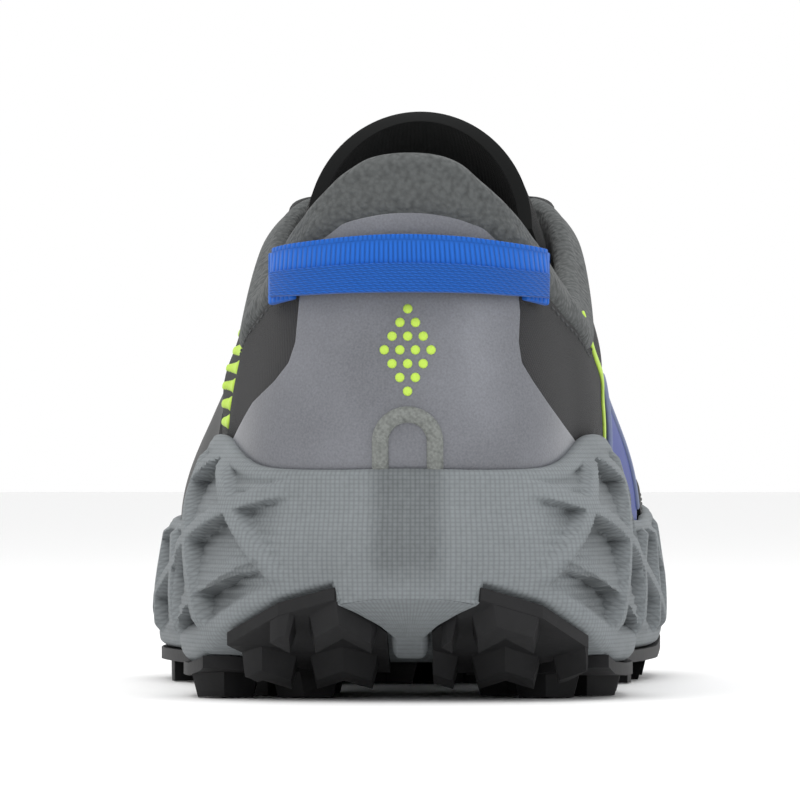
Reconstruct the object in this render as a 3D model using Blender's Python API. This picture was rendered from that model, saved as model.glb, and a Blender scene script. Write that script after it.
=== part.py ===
# Trail running shoe, left foot, as separate closed solids.
# Metres; +Y points to the toe, +X to the inner side of the foot, +Z up; the shoe stands on Z = 0.

import math

import bmesh
import bpy
import numpy as np
from mathutils import Vector

# Lengths and widths of the sole
LENGTH = 0.300
BALL_WIDTH = 0.112
WAIST_WIDTH = 0.082
HEEL_WIDTH = 0.094

# Heights above the floor
HEEL_HEIGHT = 0.108
INSTEP_HEIGHT = 0.104
HEEL_STACK = 0.037
BALL_STACK = 0.028
LIP_HEIGHT = 0.054

# Widths of the opening
COLLAR_WIDTH = 0.070

# Walls and clearances
WALL = 0.0022
COLLAR_PAD = 0.0056
COLLAR_FRONT_PAD = 0.0036
OVERLAY = 0.0010
GAP = 0.0003
SEAT_GAP = 0.0005
FLANGE = 0.0085
LIP_WALL = 0.0030
CUFF_BAND = 0.0105
STAY_WIDTH = 0.0140
INSOLE = 0.0045
INSOLE_CUP = 0.0015
INSOLE_RIM = 0.0070

# Underside
RUBBER = 0.0026
LUG_DEPTH = 0.0044
LUG_WIDTH = 0.0142
LUG_LENGTH = 0.0120
LUG_PITCH_X = 0.0166
LUG_PITCH_Y = 0.0164
HEEL_BEVEL_LENGTH = 0.040
HEEL_BEVEL_RISE = 0.0193
ARCH_RISE = 0.0045
TOE_SPRING = 0.0165
TOE_SPRING_START = 0.212
FOOT_SPRING = 0.0100
CHANNEL = 0.0220
FINGER_WIDTH = 0.0080
FINGER_PROUD = 0.0012

# Ribs of the midsole's side: leaning ribs rise to the toe, sweeping ribs fall to the toe
RIB_WIDTH = 0.0036
RIB_PROUD = 0.0014
RIB_SINK = 0.0020
SWEEP_FALL = 0.30
LEAN_FIRST = 0.0500
LEAN_PITCH = 0.0270
SWEEP_FIRST = 0.0430
SWEEP_PITCH = 0.0155
LATTICE_START = 0.0240
LATTICE_END = 0.2450

# Tongue, tape, trim and lace
TONGUE_WALL = 0.0030
TAPE_WIDTH = 0.0128
TAPE_WALL = 0.0014
TAPE_SPAN = 0.0520
TAPE_ROOM = 0.0022
TAPE_PLACE = 0.829
TAPE_DROOP = 0.0012
TRIM_WIDTH = 0.0033
TRIM_HEIGHT = 0.0125
TRIM_SPAN = 0.0142
TRIM_WALL = 0.0012
EYELET_ROWS = 6
EYELET_FIRST = 0.625
EYELET_STEP = 0.038
LACE_WIDTH = 0.0060
LACE_WALL = 0.0014
LACE_ARCH = 0.0014
LACE_CLEAR = 0.0006

# Mesh fineness
COLUMNS = 56
CENTRE_COLUMN = COLUMNS // 2

WIDTHS = {"heel": HEEL_WIDTH, "waist": WAIST_WIDTH, "ball": BALL_WIDTH}
HEIGHTS = {"collar": HEEL_HEIGHT, "instep": INSTEP_HEIGHT}

# Wall sections of the last, from the heel's back along the outer side to the toe and home again.
# foot_x is a share of the named width and foot_y of the length; rim_x is a share of the collar's width,
# rim_y of the length and rim_z of the named height; belly and shoulder are the wall's swell outwards,
# as shares of the ball width, and up or down, as shares of the wall's rise; flange is the sole's
# reach past the foot line, as a share of FLANGE, and lip a share of LIP_HEIGHT.
SECTIONS = (
    # place, width, foot_x, foot_y, height, rim_x, rim_y, rim_z, belly, up, shoulder, down, flange, lip
    ("heel back", "heel", 0.000, 0.030, "collar", 0.000, 0.014, 1.00, 0.095, 0.32, -0.07, 0.30, 0.95, 0.865),
    ("heel arch out", "heel", -0.150, 0.0375, "collar", -0.160, 0.0215, 0.982, 0.085, 0.32, -0.055, 0.30, 0.97, 0.86),
    ("heel corner out", "heel", -0.266, 0.057, "collar", -0.271, 0.040, 0.93, 0.055, 0.30, -0.02, 0.30, 1.05, 0.865),
    ("heel side out", "heel", -0.385, 0.160, "collar", -0.443, 0.133, 0.79, 0.036, 0.35, 0.03, 0.30, 1.45, 0.99),
    ("ankle out", "heel", -0.412, 0.267, "collar", -0.493, 0.220, 0.74, 0.040, 0.35, 0.03, 0.30, 1.15, 0.94),
    ("waist out", "waist", -0.488, 0.373, "instep", -0.440, 0.347, 0.95, 0.070, 0.36, 0.07, 0.34, 0.75, 0.78),
    ("throat top out", "waist", -0.530, 0.467, "instep", -0.343, 0.413, 1.00, 0.050, 0.36, 0.09, 0.22, 0.70, 0.68),
    ("throat mid out", "ball", -0.455, 0.573, "instep", -0.271, 0.507, 0.885, 0.045, 0.40, 0.13, 0.16, 0.75, 0.64),
    ("ball out", "ball", -0.491, 0.693, "instep", -0.186, 0.600, 0.769, 0.040, 0.45, 0.19, 0.12, 0.80, 0.65),
    ("toe side out", "ball", -0.429, 0.820, "instep", -0.129, 0.653, 0.707, 0.030, 0.50, 0.24, 0.10, 0.80, 0.69),
    ("toe corner out", "ball", -0.268, 0.927, "instep", -0.093, 0.665, 0.692, 0.020, 0.52, 0.30, 0.08, 0.85, 0.76),
    ("toe tip", "ball", 0.000, 0.972, "instep", -0.029, 0.670, 0.688, 0.015, 0.55, 0.34, 0.07, 0.95, 0.80),
    ("toe corner in", "ball", 0.232, 0.943, "instep", 0.036, 0.665, 0.692, 0.020, 0.52, 0.32, 0.08, 0.85, 0.78),
    ("toe side in", "ball", 0.366, 0.860, "instep", 0.079, 0.653, 0.707, 0.030, 0.50, 0.27, 0.10, 0.80, 0.71),
    ("ball in", "ball", 0.393, 0.727, "instep", 0.129, 0.600, 0.769, 0.035, 0.47, 0.18, 0.12, 0.72, 0.65),
    ("throat mid in", "ball", 0.375, 0.593, "instep", 0.214, 0.507, 0.885, 0.040, 0.42, 0.12, 0.16, 0.62, 0.64),
    ("throat top in", "waist", 0.451, 0.473, "instep", 0.329, 0.413, 1.00, 0.050, 0.38, 0.09, 0.22, 0.58, 0.68),
    ("waist in", "waist", 0.433, 0.373, "instep", 0.440, 0.347, 0.95, 0.060, 0.36, 0.06, 0.34, 0.65, 0.80),
    ("ankle in", "heel", 0.372, 0.267, "collar", 0.493, 0.220, 0.74, 0.040, 0.35, 0.03, 0.30, 1.25, 0.94),
    ("heel side in", "heel", 0.338, 0.160, "collar", 0.443, 0.133, 0.79, 0.036, 0.35, 0.03, 0.30, 1.60, 0.99),
    ("heel corner in", "heel", 0.246, 0.057, "collar", 0.271, 0.040, 0.93, 0.055, 0.30, -0.02, 0.30, 1.15, 0.865),
    ("heel arch in", "heel", 0.150, 0.0375, "collar", 0.160, 0.0215, 0.982, 0.085, 0.32, -0.055, 0.30, 0.97, 0.86),
)
PLACES = [row[0] for row in SECTIONS]
COLLAR_FRONT_OUT = PLACES.index("throat top out")
COLLAR_FRONT_IN = PLACES.index("throat top in")

# Side of the midsole: height as a share from the rubber to the lip, reach as a share of the flange
SIDE_LEVELS = (
    # place, height, reach
    ("rubber line", 0.00, 0.90),
    ("lower swell", 0.18, 1.00),
    ("belly", 0.42, 0.98),
    ("upper swell", 0.72, 0.80),
)

# Tongue from its toe end to its top: place along the shoe and height of its middle, as shares of the
# length and the instep's height, half width as a share of the collar's width, fall of its edges, and
# how far they lie ahead of its middle (behind it where they wrap round the ankle), as a share of the fall
TONGUE_ROWS = (
    # place, along, height, half_width, fall, ahead
    ("toe end", 0.690, 0.659, 0.22, 0.060, 0.35),
    ("throat front", 0.640, 0.665, 0.27, 0.060, 0.35),
    ("lower throat", 0.580, 0.755, 0.285, 0.090, 0.35),
    ("middle throat", 0.510, 0.850, 0.31, 0.120, 0.35),
    ("top eyelet", 0.425, 0.980, 0.365, 0.160, 0.30),
    ("collar", 0.365, 1.055, 0.385, 0.220, 0.10),
    ("upper edge", 0.325, 1.130, 0.390, 0.290, -0.18),
    ("top edge", 0.305, 1.180, 0.340, 0.240, -0.32),
)

# Outer side and front of the rear heel lobe: across as a share of the heel's width and along as a share
# of the bevel's length; its inner side follows the finger
LOBE_OUTLINE = (
    (0.415, -0.250),
    (0.415, 0.420),
    (0.387, 0.520),
    (0.342, 0.650),
    (0.282, 0.735),
    (0.200, 0.860),
)

# Rear edge of the heel's side pads, in the same shares
PAD_EDGE = (
    (0.200, 0.980),
    (0.290, 0.865),
    (0.400, 0.790),
    (0.600, 0.770),
)

# Where the heel's rubber ends and the forefoot's begins, as shares of the length
TREAD_WAIST = (0.36, 0.485)

# Foam finger between the lobes: half width as a share of the finger's, along as a share of the bevel
FINGER_OUTLINE = (
    (4.6, -0.250),
    (4.0, 0.060),
    (3.1, 0.143),
    (1.75, 0.270),
    (1.0, 0.375),
    (1.0, 0.550),
    (0.55, 0.595),
)

# Overlays of the sides: place as a share of the length, height as a share of the instep's height
INNER_PANEL = ((0.395, 0.30), (0.425, 0.54), (0.470, 0.635), (0.545, 0.60), (0.610, 0.50), (0.635, 0.30))
OUTER_PANEL = ((0.360, 0.30), (0.400, 0.49), (0.460, 0.61), (0.540, 0.60), (0.620, 0.46), (0.650, 0.30))
TOE_CAP_LINE = ((0.700, 0.20), (0.745, 0.37), (0.810, 0.428), (0.870, 0.481), (0.930, 0.558), (1.040, 0.635),
                (1.040, 0.10))

# Heel counter from its foot to its top: height as a share of the heel's height, outer and inner edge as
# shares of the heel's width
COUNTER_ROWS = (
    # place, height, outer_edge, inner_edge
    ("under the lip", 0.42, -0.445, 0.425),
    ("foot", 0.49, -0.395, 0.360),
    ("flare", 0.55, -0.330, 0.305),
    ("neck", 0.62, -0.275, 0.262),
    ("waist", 0.70, -0.242, 0.240),
    ("under the tape", 0.79, -0.232, 0.232),
    ("collar", 0.88, -0.226, 0.226),
    ("top", 0.98, -0.190, 0.190),
)

# Colours, linear: red, green, blue, then roughness
COLOURS = {
    "foam": (0.205, 0.230, 0.240, 0.80),
    "rubber": (0.008, 0.008, 0.009, 0.75),
    "mesh": (0.048, 0.048, 0.050, 0.85),
    "crepe": (0.092, 0.098, 0.098, 0.95),
    "speckle": (0.215, 0.222, 0.255, 0.45),
    "webbing": (0.017, 0.140, 0.570, 0.75),
    "deep_blue": (0.011, 0.033, 0.240, 0.60),
    "smooth_black": (0.007, 0.008, 0.008, 0.55),
    "foot_bed": (0.045, 0.047, 0.050, 0.95),
    "lace": (0.020, 0.021, 0.022, 0.90),
}


def clear_scene():
    for old in list(bpy.data.objects):
        bpy.data.objects.remove(old, do_unlink=True)


def finish(colour):
    material = bpy.data.materials.get(colour) or bpy.data.materials.new(colour)
    red, green, blue, rough = COLOURS[colour]
    material.use_nodes = True
    shader = material.node_tree.nodes["Principled BSDF"]
    shader.inputs["Base Color"].default_value = (red, green, blue, 1.0)
    shader.inputs["Roughness"].default_value = rough
    shader.inputs["Metallic"].default_value = 0.0
    material.diffuse_color = (red, green, blue, 1.0)
    return material


def make_body(name, points, faces, colour):
    # Closed body from points and triangles, faces turned outwards
    mesh = bpy.data.meshes.new(name)
    mesh.from_pydata([tuple(map(float, p)) for p in points], [], faces)
    work = bmesh.new()
    work.from_mesh(mesh)
    bmesh.ops.recalc_face_normals(work, faces=work.faces)
    if work.calc_volume(signed=True) < 0.0:
        bmesh.ops.reverse_faces(work, faces=work.faces)
    work.to_mesh(mesh)
    work.free()
    body = bpy.data.objects.new(name, mesh)
    body.data.materials.append(finish(colour))
    bpy.context.collection.objects.link(body)
    return body


def combine(body, tool, operation):
    # Boolean of two closed bodies; the tool is used up
    step = body.modifiers.new(operation.lower(), "BOOLEAN")
    step.operation = operation
    step.solver = "EXACT"
    step.object = tool
    bpy.context.view_layer.update()
    graph = bpy.context.evaluated_depsgraph_get()
    mesh = bpy.data.meshes.new_from_object(body.evaluated_get(graph))
    body.modifiers.clear()
    body.data = mesh
    bpy.data.objects.remove(tool, do_unlink=True)
    return body


def keep_largest(body):
    # Specks that a slanting cut leaves beside a body are cleared away
    work = bmesh.new()
    work.from_mesh(body.data)
    left, groups = set(work.verts), []
    while left:
        group, front = set(), [left.pop()]
        while front:
            vertex = front.pop()
            group.add(vertex)
            for edge in vertex.link_edges:
                other = edge.other_vert(vertex)
                if other in left:
                    left.discard(other)
                    front.append(other)
        groups.append(group)
    groups.sort(key=len)
    for group in groups[:-1]:
        bmesh.ops.delete(work, geom=list(group), context="VERTS")
    work.to_mesh(body.data)
    work.free()
    return body


def shade(body, angle=40.0):
    body.data.shade_smooth()
    body.data.set_sharp_from_angle(angle=math.radians(angle))


def soft_step(value):
    value = np.clip(value, 0.0, 1.0)
    return value * value * (3.0 - 2.0 * value)


# Heights that depend on the place along the shoe only

def sole_bottom(y):
    stand = LUG_DEPTH + RUBBER + GAP
    heel = HEEL_BEVEL_RISE * np.clip(1.0 - y / HEEL_BEVEL_LENGTH, 0.0, None) ** 1.6
    waist = ARCH_RISE * soft_step(1.0 - np.abs(y / LENGTH - 0.42) / 0.09)
    toe = TOE_SPRING * np.clip((y - TOE_SPRING_START) / (LENGTH - TOE_SPRING_START), 0.0, None) ** 1.8
    return stand + heel + waist + toe


def foot_bed(y):
    drop = soft_step((y / LENGTH - 0.20) / 0.45)
    spring = np.clip((y - TOE_SPRING_START) / (LENGTH - TOE_SPRING_START), 0.0, None) ** 1.8
    return HEEL_STACK + (BALL_STACK - HEEL_STACK) * drop + FOOT_SPRING * spring


# Form of the last: every column of SECTIONS becomes a smooth closed ring

def ring_values(knots, values, at):
    # Closed Hermite curve through the values, slopes from the neighbours
    count = len(values)
    span = np.diff(np.append(knots, 1.0))
    step = (np.roll(values, -1) - values) / span
    before = np.roll(step, 1)
    before_span = np.roll(span, 1)
    slope = (step * before_span + before * span) / (span + before_span)
    at = np.mod(at, 1.0)
    low = np.clip(np.searchsorted(knots, at, side="right") - 1, 0, count - 1)
    high = (low + 1) % count
    width = span[low]
    t = (at - knots[low]) / width
    return (
        values[low] * (2 * t**3 - 3 * t**2 + 1)
        + slope[low] * width * (t**3 - 2 * t**2 + t)
        + values[high] * (-2 * t**3 + 3 * t**2)
        + slope[high] * width * (t**3 - t**2)
    )


def section_columns():
    rows = SECTIONS
    foot_x = np.array([row[2] * WIDTHS[row[1]] for row in rows])
    foot_y = np.array([row[3] * LENGTH for row in rows])
    columns = {
        "foot_x": foot_x,
        "foot_y": foot_y,
        "rim_x": np.array([row[5] * COLLAR_WIDTH for row in rows]),
        "rim_y": np.array([row[6] * LENGTH for row in rows]),
        "rim_z": np.array([row[7] * HEIGHTS[row[4]] for row in rows]),
        "belly": np.array([row[8] * BALL_WIDTH for row in rows]),
        "belly_up": np.array([row[9] for row in rows]),
        "shoulder": np.array([row[10] * BALL_WIDTH for row in rows]),
        "shoulder_down": np.array([row[11] for row in rows]),
        "flange": np.array([row[12] * FLANGE for row in rows]),
        "lip": np.array([row[13] * LIP_HEIGHT for row in rows]),
    }
    steps = np.hypot(np.diff(np.append(foot_x, foot_x[0])), np.diff(np.append(foot_y, foot_y[0])))
    knots = np.concatenate(([0.0], np.cumsum(steps)[:-1])) / steps.sum()
    return knots, columns, steps.sum()


KNOTS, COLUMN_VALUES, GIRTH = section_columns()


def ring(name, around):
    return ring_values(KNOTS, COLUMN_VALUES[name], around)


def plan_outward(around):
    # Unit normal of the foot line in plan, pointing away from the foot
    ahead, behind = around + 0.002, around - 0.002
    dx = ring("foot_x", ahead) - ring("foot_x", behind)
    dy = ring("foot_y", ahead) - ring("foot_y", behind)
    size = np.hypot(dx, dy)
    return -dy / size, dx / size


def wall_point(around, rise):
    # Point of the upper's outer face; rise runs from 0 at the foot bed to 1 at the rim
    out_x, out_y = plan_outward(around)
    foot_x, foot_y = ring("foot_x", around), ring("foot_y", around)
    rim_x, rim_y, rim_z = ring("rim_x", around), ring("rim_y", around), ring("rim_z", around)
    foot_z = foot_bed(foot_y) + GAP
    height = rim_z - foot_z
    belly, shoulder = ring("belly", around), ring("shoulder", around)
    low = (foot_x + out_x * belly, foot_y + out_y * belly, foot_z + ring("belly_up", around) * height)
    top = (rim_x + out_x * shoulder, rim_y + out_y * shoulder, rim_z - ring("shoulder_down", around) * height)
    a, b, c, d = (1 - rise) ** 3, 3 * (1 - rise) ** 2 * rise, 3 * (1 - rise) * rise**2, rise**3
    return np.stack(
        [
            a * foot_x + b * low[0] + c * top[0] + d * rim_x,
            a * foot_y + b * low[1] + c * top[1] + d * rim_y,
            a * foot_z + b * low[2] + c * top[2] + d * rim_z,
        ],
        axis=-1,
    )


def wall_normal(around, rise):
    along = wall_point(around + 0.003, rise) - wall_point(around - 0.003, rise)
    up_high, up_low = np.minimum(rise + 0.01, 1.0), np.maximum(rise - 0.01, 0.0)
    upward = wall_point(around, up_high) - wall_point(around, up_low)
    normal = np.cross(upward, along)
    return normal / np.linalg.norm(normal, axis=-1, keepdims=True)


def wall_surface(around, rise, out=0.0):
    out = np.asarray(out)[..., None] if np.ndim(out) else out
    return wall_point(around, rise) + wall_normal(around, rise) * out


AROUND = np.arange(COLUMNS) / COLUMNS
SAMPLES = np.linspace(0.0, 1.0, 81)
# Column profiles used to find heights and lengths along the wall
PROFILES = wall_point(AROUND[None, :], SAMPLES[:, None])
ARC = np.concatenate(
    (np.zeros((1, COLUMNS)), np.cumsum(np.linalg.norm(np.diff(PROFILES, axis=0), axis=2), axis=0))
)
LENGTHS = ARC[-1]


def rise_at_height(column, height):
    return float(np.interp(height, PROFILES[:, column, 2], SAMPLES))


def rise_below_rim(column, distance):
    return float(np.interp(LENGTHS[column] - distance, ARC[:, column], SAMPLES))


def in_collar(around):
    return around < KNOTS[COLLAR_FRONT_OUT] - 0.01 or around > KNOTS[COLLAR_FRONT_IN] + 0.01


def cuff_height(around):
    # Full at the heel, lower along the ankle
    heel = math.exp(-((min(around, 1.0 - around) / 0.075) ** 2))
    return CUFF_BAND * (0.72 + 0.28 * heel)


COLLAR = [in_collar(a) for a in AROUND]
LIP_RISE = np.array([rise_at_height(i, ring("lip", AROUND)[i]) for i in range(COLUMNS)])
LIP_EDGE = np.array([rise_at_height(i, ring("lip", AROUND)[i] + 2 * GAP) for i in range(COLUMNS)])
TOP_RISE = np.array([rise_below_rim(i, cuff_height(AROUND[i])) if COLLAR[i] else 1.0 for i in range(COLUMNS)])
CUFF_RISE = np.array([rise_below_rim(i, cuff_height(AROUND[i]) - GAP) for i in range(COLUMNS)])
STAY_RISE = np.array(
    [
        float(np.interp(np.interp(TOP_RISE[i], SAMPLES, ARC[:, i]) - STAY_WIDTH, ARC[:, i], SAMPLES))
        for i in range(COLUMNS)
    ]
)


def wall_rows():
    # Rise of every row of the upper, from the foot bed to its top edge
    rows = [np.zeros(COLUMNS), LIP_EDGE]
    for share in (0.25, 0.5, 0.75):
        rows.append(LIP_EDGE + (STAY_RISE - LIP_EDGE) * share)
    rows += [STAY_RISE, (STAY_RISE + TOP_RISE) / 2, TOP_RISE]
    return np.array(rows)


ROWS = wall_rows()
STAY_ROW = len(ROWS) - 3


def collar_pad(around):
    # Thickness of the wall at its top: full at the heel, thinner at the front, plain round the throat
    behind = max(KNOTS[COLLAR_FRONT_OUT] - around, around - KNOTS[COLLAR_FRONT_IN])
    front = WALL + (COLLAR_FRONT_PAD - WALL) * float(soft_step(behind / 0.02 + 0.5))
    return front + (COLLAR_PAD - COLLAR_FRONT_PAD) * float(soft_step((behind - 0.02) / 0.09))


PAD = np.array([collar_pad(a) for a in AROUND])


def thickness(rise, columns):
    # The wall thickens towards the padded collar
    near_rim = soft_step((rise - (TOP_RISE[columns] - 0.34)) / 0.34)
    return WALL + (PAD[columns] - WALL) * near_rim


def grid_triangles(rows, columns, wrap, start, flip):
    faces = []
    for j in range(rows - 1):
        for i in range(columns if wrap else columns - 1):
            k = (i + 1) % columns
            a, b = start + j * columns + i, start + j * columns + k
            c, d = start + (j + 1) * columns + k, start + (j + 1) * columns + i
            pair = [(a, b, c), (a, c, d)]
            faces += [face[::-1] for face in pair] if flip else pair
    return faces


def shell_body(name, outer, inner, wrap, colour):
    # Wall between two grids of points, closed along every free edge
    rows, columns = outer.shape[:2]
    count = rows * columns
    points = np.concatenate((outer.reshape(-1, 3), inner.reshape(-1, 3)))
    faces = grid_triangles(rows, columns, wrap, 0, False)
    faces += grid_triangles(rows, columns, wrap, count, True)
    edge = [(i, (i + 1) % columns) for i in range(columns if wrap else columns - 1)]
    for j in (0, rows - 1):
        for i, k in edge:
            a, b = j * columns + i, j * columns + k
            faces += [(a, b, a + count), (b, b + count, a + count)]
    if not wrap:
        for i in (0, columns - 1):
            for j in range(rows - 1):
                a, b = j * columns + i, (j + 1) * columns + i
                faces += [(a, b, b + count), (a, b + count, a + count)]
    return make_body(name, points, faces, colour)


def ladder(start, columns):
    # Cap of a closed ring by rungs from side to side
    half = columns // 2
    faces = [(start, start + 1, start + columns - 1)]
    for i in range(1, half - 1):
        a, b = start + i, start + i + 1
        c, d = start + columns - i - 1, start + columns - i
        faces += [(a, b, c), (a, c, d)]
    faces.append((start + half - 1, start + half, start + half + 1))
    return faces


def stack_body(name, rings, colour):
    # Solid from closed rings, capped by ladders at both ends
    columns = len(rings[0])
    points = np.concatenate(rings)
    faces = grid_triangles(len(rings), columns, True, 0, False)
    faces += ladder(0, columns) + ladder((len(rings) - 1) * columns, columns)
    return make_body(name, points, faces, colour)


def prism(name, outline, axis, low, high):
    # Cutter: an outline of two coordinates, drawn out along the third axis
    count = len(outline)
    points = []
    for level in (low, high):
        for u, v in outline:
            points.append({"x": (level, u, v), "y": (u, level, v), "z": (u, v, level)}[axis])
    faces = [tuple(range(count)), tuple(range(count, 2 * count))]
    faces += [(i, (i + 1) % count, (i + 1) % count + count, i + count) for i in range(count)]
    return make_body(name, points, faces, "rubber")


def sweep_body(name, sections, colour):
    # Bar through a list of cross sections with equal point counts
    count = len(sections[0])
    points = np.concatenate(sections)
    faces = grid_triangles(len(sections), count, True, 0, False)
    last = (len(sections) - 1) * count
    faces += [(0, i, i + 1) for i in range(1, count - 1)]
    faces += [(last, last + i, last + i + 1) for i in range(1, count - 1)]
    return make_body(name, points, faces, colour)


def smooth_path(points, per_span):
    # Catmull-Rom curve through the given points
    points = np.array(points, dtype=float)
    padded = np.concatenate(([2 * points[0] - points[1]], points, [2 * points[-1] - points[-2]]))
    out = []
    for i in range(1, len(padded) - 2):
        p0, p1, p2, p3 = padded[i - 1 : i + 3]
        for step in range(per_span):
            t = step / per_span
            out.append(
                0.5 * (2 * p1 + (p2 - p0) * t + (2 * p0 - 5 * p1 + 4 * p2 - p3) * t**2
                       + (3 * p1 - p0 - 3 * p2 + p3) * t**3)
            )
    out.append(points[-1])
    return np.array(out)


# Sole

def sole_ring(reach, height):
    # Ring outside the foot line: reach in metres, height as an array
    out_x, out_y = plan_outward(AROUND)
    return np.stack(
        [ring("foot_x", AROUND) + out_x * reach, ring("foot_y", AROUND) + out_y * reach, height], axis=-1
    )


def rubber_ring(lower=0.0, inset=0.0):
    reach = ring("flange", AROUND) * SIDE_LEVELS[0][2] - inset
    flat = sole_ring(reach, np.zeros(COLUMNS))
    flat[:, 2] = sole_bottom(flat[:, 1]) - lower
    return flat


def side_rings():
    # Rings of the midsole's side from the rubber line to the top of its lip
    base = rubber_ring()
    lip = ring("lip", AROUND)
    rings = [base]
    for _, height, reach in SIDE_LEVELS[1:]:
        rings.append(sole_ring(ring("flange", AROUND) * reach, base[:, 2] + (lip - base[:, 2]) * height))
    lip_inner = wall_surface(AROUND, LIP_RISE, SEAT_GAP)
    lip_outer = sole_ring(0.0, lip)
    out_x, out_y = plan_outward(AROUND)
    reach = (lip_inner[:, 0] - lip_outer[:, 0]) * out_x + (lip_inner[:, 1] - lip_outer[:, 1]) * out_y
    rings.append(sole_ring(reach + LIP_WALL, lip))
    return rings


SIDE = np.array(side_rings())


def side_point(around, height, out):
    # Point on the midsole's side, height from 0 at the rubber to 1 at the lip
    levels = [row[1] for row in SIDE_LEVELS] + [1.0]
    column = (around % 1.0) * COLUMNS
    low = int(column) % COLUMNS
    high = (low + 1) % COLUMNS
    t = column - int(column)
    line = SIDE[:, low] * (1 - t) + SIDE[:, high] * t
    spot = np.array([np.interp(height, levels, line[:, k]) for k in range(3)])
    out_x, out_y = plan_outward(np.array([around]))
    return spot + np.array([out_x[0], out_y[0], 0.0]) * out


def side_rib(places):
    # Rib through a list of places on the side, each as (around, height)
    middle = np.array([side_point(around, height, 0.0) for around, height in places])
    run = np.gradient(middle, axis=0)
    sections = []
    for index, (around, height) in enumerate(places):
        out_x, out_y = plan_outward(np.array([around]))
        outward = np.array([out_x[0], out_y[0], 0.0])
        across = np.cross(run[index], outward)
        across *= RIB_WIDTH / 2 / np.linalg.norm(across)
        inner, outer = middle[index] - outward * RIB_SINK, middle[index] + outward * RIB_PROUD
        sections.append(np.array([inner - across, inner + across, outer + across * 0.5, outer - across * 0.5]))
    return sweep_body("rib", sections, "foam")


def side_span(way):
    # Lowest and highest point of the side at a place, measured round the sole from the heel's back
    column = np.mod(way / GIRTH, 1.0) * COLUMNS
    columns = np.arange(COLUMNS + 1)
    return [float(np.interp(column, columns, np.append(level, level[0]))) for level in (SIDE[0, :, 2], SIDE[-1, :, 2])]


def lean_rib(index, side):
    # From the lip down and back towards the heel, slightly curved
    places = []
    for share in (0.97, 0.57, 0.16):
        way = LEAN_FIRST + index * LEAN_PITCH
        for _ in range(6):
            low, high = side_span(side * way)
            fall = share * (high - low) + low - LIP_HEIGHT
            way = LEAN_FIRST + index * LEAN_PITCH + fall + (fall + RIB_WIDTH * 4) ** 2 / LIP_HEIGHT / 2
        places.append((side * way / GIRTH, share))
    return places


def sweep_rib(index, side):
    # Long shallow rib that falls towards the toe
    places = []
    for way in np.arange(LATTICE_START, LATTICE_END, RIB_WIDTH / 4):
        low, high = side_span(side * way)
        height = SWEEP_FIRST + index * SWEEP_PITCH - (way - LATTICE_START) * SWEEP_FALL
        share = (height - low) / (high - low)
        if 0.14 < share < 0.97:
            places.append((side * way / GIRTH, share))
    if len(places) < 12:
        return []
    steps = max(3, int(len(places) * RIB_WIDTH / 4 / SWEEP_PITCH) + 1)
    return [places[int(round(k))] for k in np.linspace(0, len(places) - 1, steps)]


def rib_lattice(midsole):
    # Two crossing families of ribs on each side, from the heel's corners to the ball
    leans = int((LATTICE_END - LEAN_FIRST) / LEAN_PITCH) + 1
    sweeps = int(((LATTICE_END - LATTICE_START) * SWEEP_FALL + LIP_HEIGHT - SWEEP_FIRST) / SWEEP_PITCH) + 1
    for side in (1, -1):
        ribs = [lean_rib(index, side) for index in range(leans)]
        ribs += [sweep_rib(index, side) for index in range(sweeps)]
        for places in ribs:
            if places:
                combine(midsole, side_rib(places), "UNION")


def finger_side():
    # Foam finger between the rear lobes, wider towards the heel's back
    return [(share * FINGER_WIDTH / 2, along * HEEL_BEVEL_LENGTH) for share, along in FINGER_OUTLINE]


def make_midsole():
    rings = list(SIDE)
    lip_in = wall_surface(AROUND, LIP_RISE, SEAT_GAP)
    lip_in[:, 2] = ring("lip", AROUND)
    rings.append(lip_in)
    bed_edge = wall_surface(AROUND, np.zeros(COLUMNS), SEAT_GAP)
    bed_edge[:, 2] = foot_bed(ring("foot_y", AROUND))
    rings.append(bed_edge)
    midsole = stack_body("midsole", rings, "foam")
    finger = stack_body(
        "finger", [rubber_ring(GAP + RUBBER + FINGER_PROUD, GAP), rubber_ring(-FINGER_PROUD, GAP)], "foam"
    )
    outline = [(-x, y) for x, y in finger_side()] + finger_side()[::-1]
    combine(finger, prism("finger_cut", outline, "z", -LIP_HEIGHT, LIP_HEIGHT), "INTERSECT")
    combine(midsole, finger, "UNION")
    rib_lattice(midsole)
    shade(midsole, 35.0)
    return midsole


def lug(x, y, forward):
    # Chevron lug under the rubber, point towards the toe or the heel
    half, depth = LUG_WIDTH / 2, LUG_LENGTH * forward
    outline = [(-half, -0.42 * depth), (0.0, 0.10 * depth), (half, -0.42 * depth),
               (half, 0.12 * depth), (0.0, 0.58 * depth), (-half, 0.12 * depth)]
    points = []
    for scale, drop in ((1.0, GAP + RUBBER / 2), (0.80, GAP + RUBBER + LUG_DEPTH)):
        for dx, dy in outline:
            px, py = x + dx * scale, y + dy * scale
            points.append((px, py, float(sole_bottom(np.array(py))) - drop))
    faces = [(0, 1, 4, 5), (1, 2, 3, 4), (6, 7, 10, 11), (7, 8, 9, 10)]
    faces += [(i, (i + 1) % 6, (i + 1) % 6 + 6, i + 6) for i in range(6)]
    return points, faces


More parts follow.
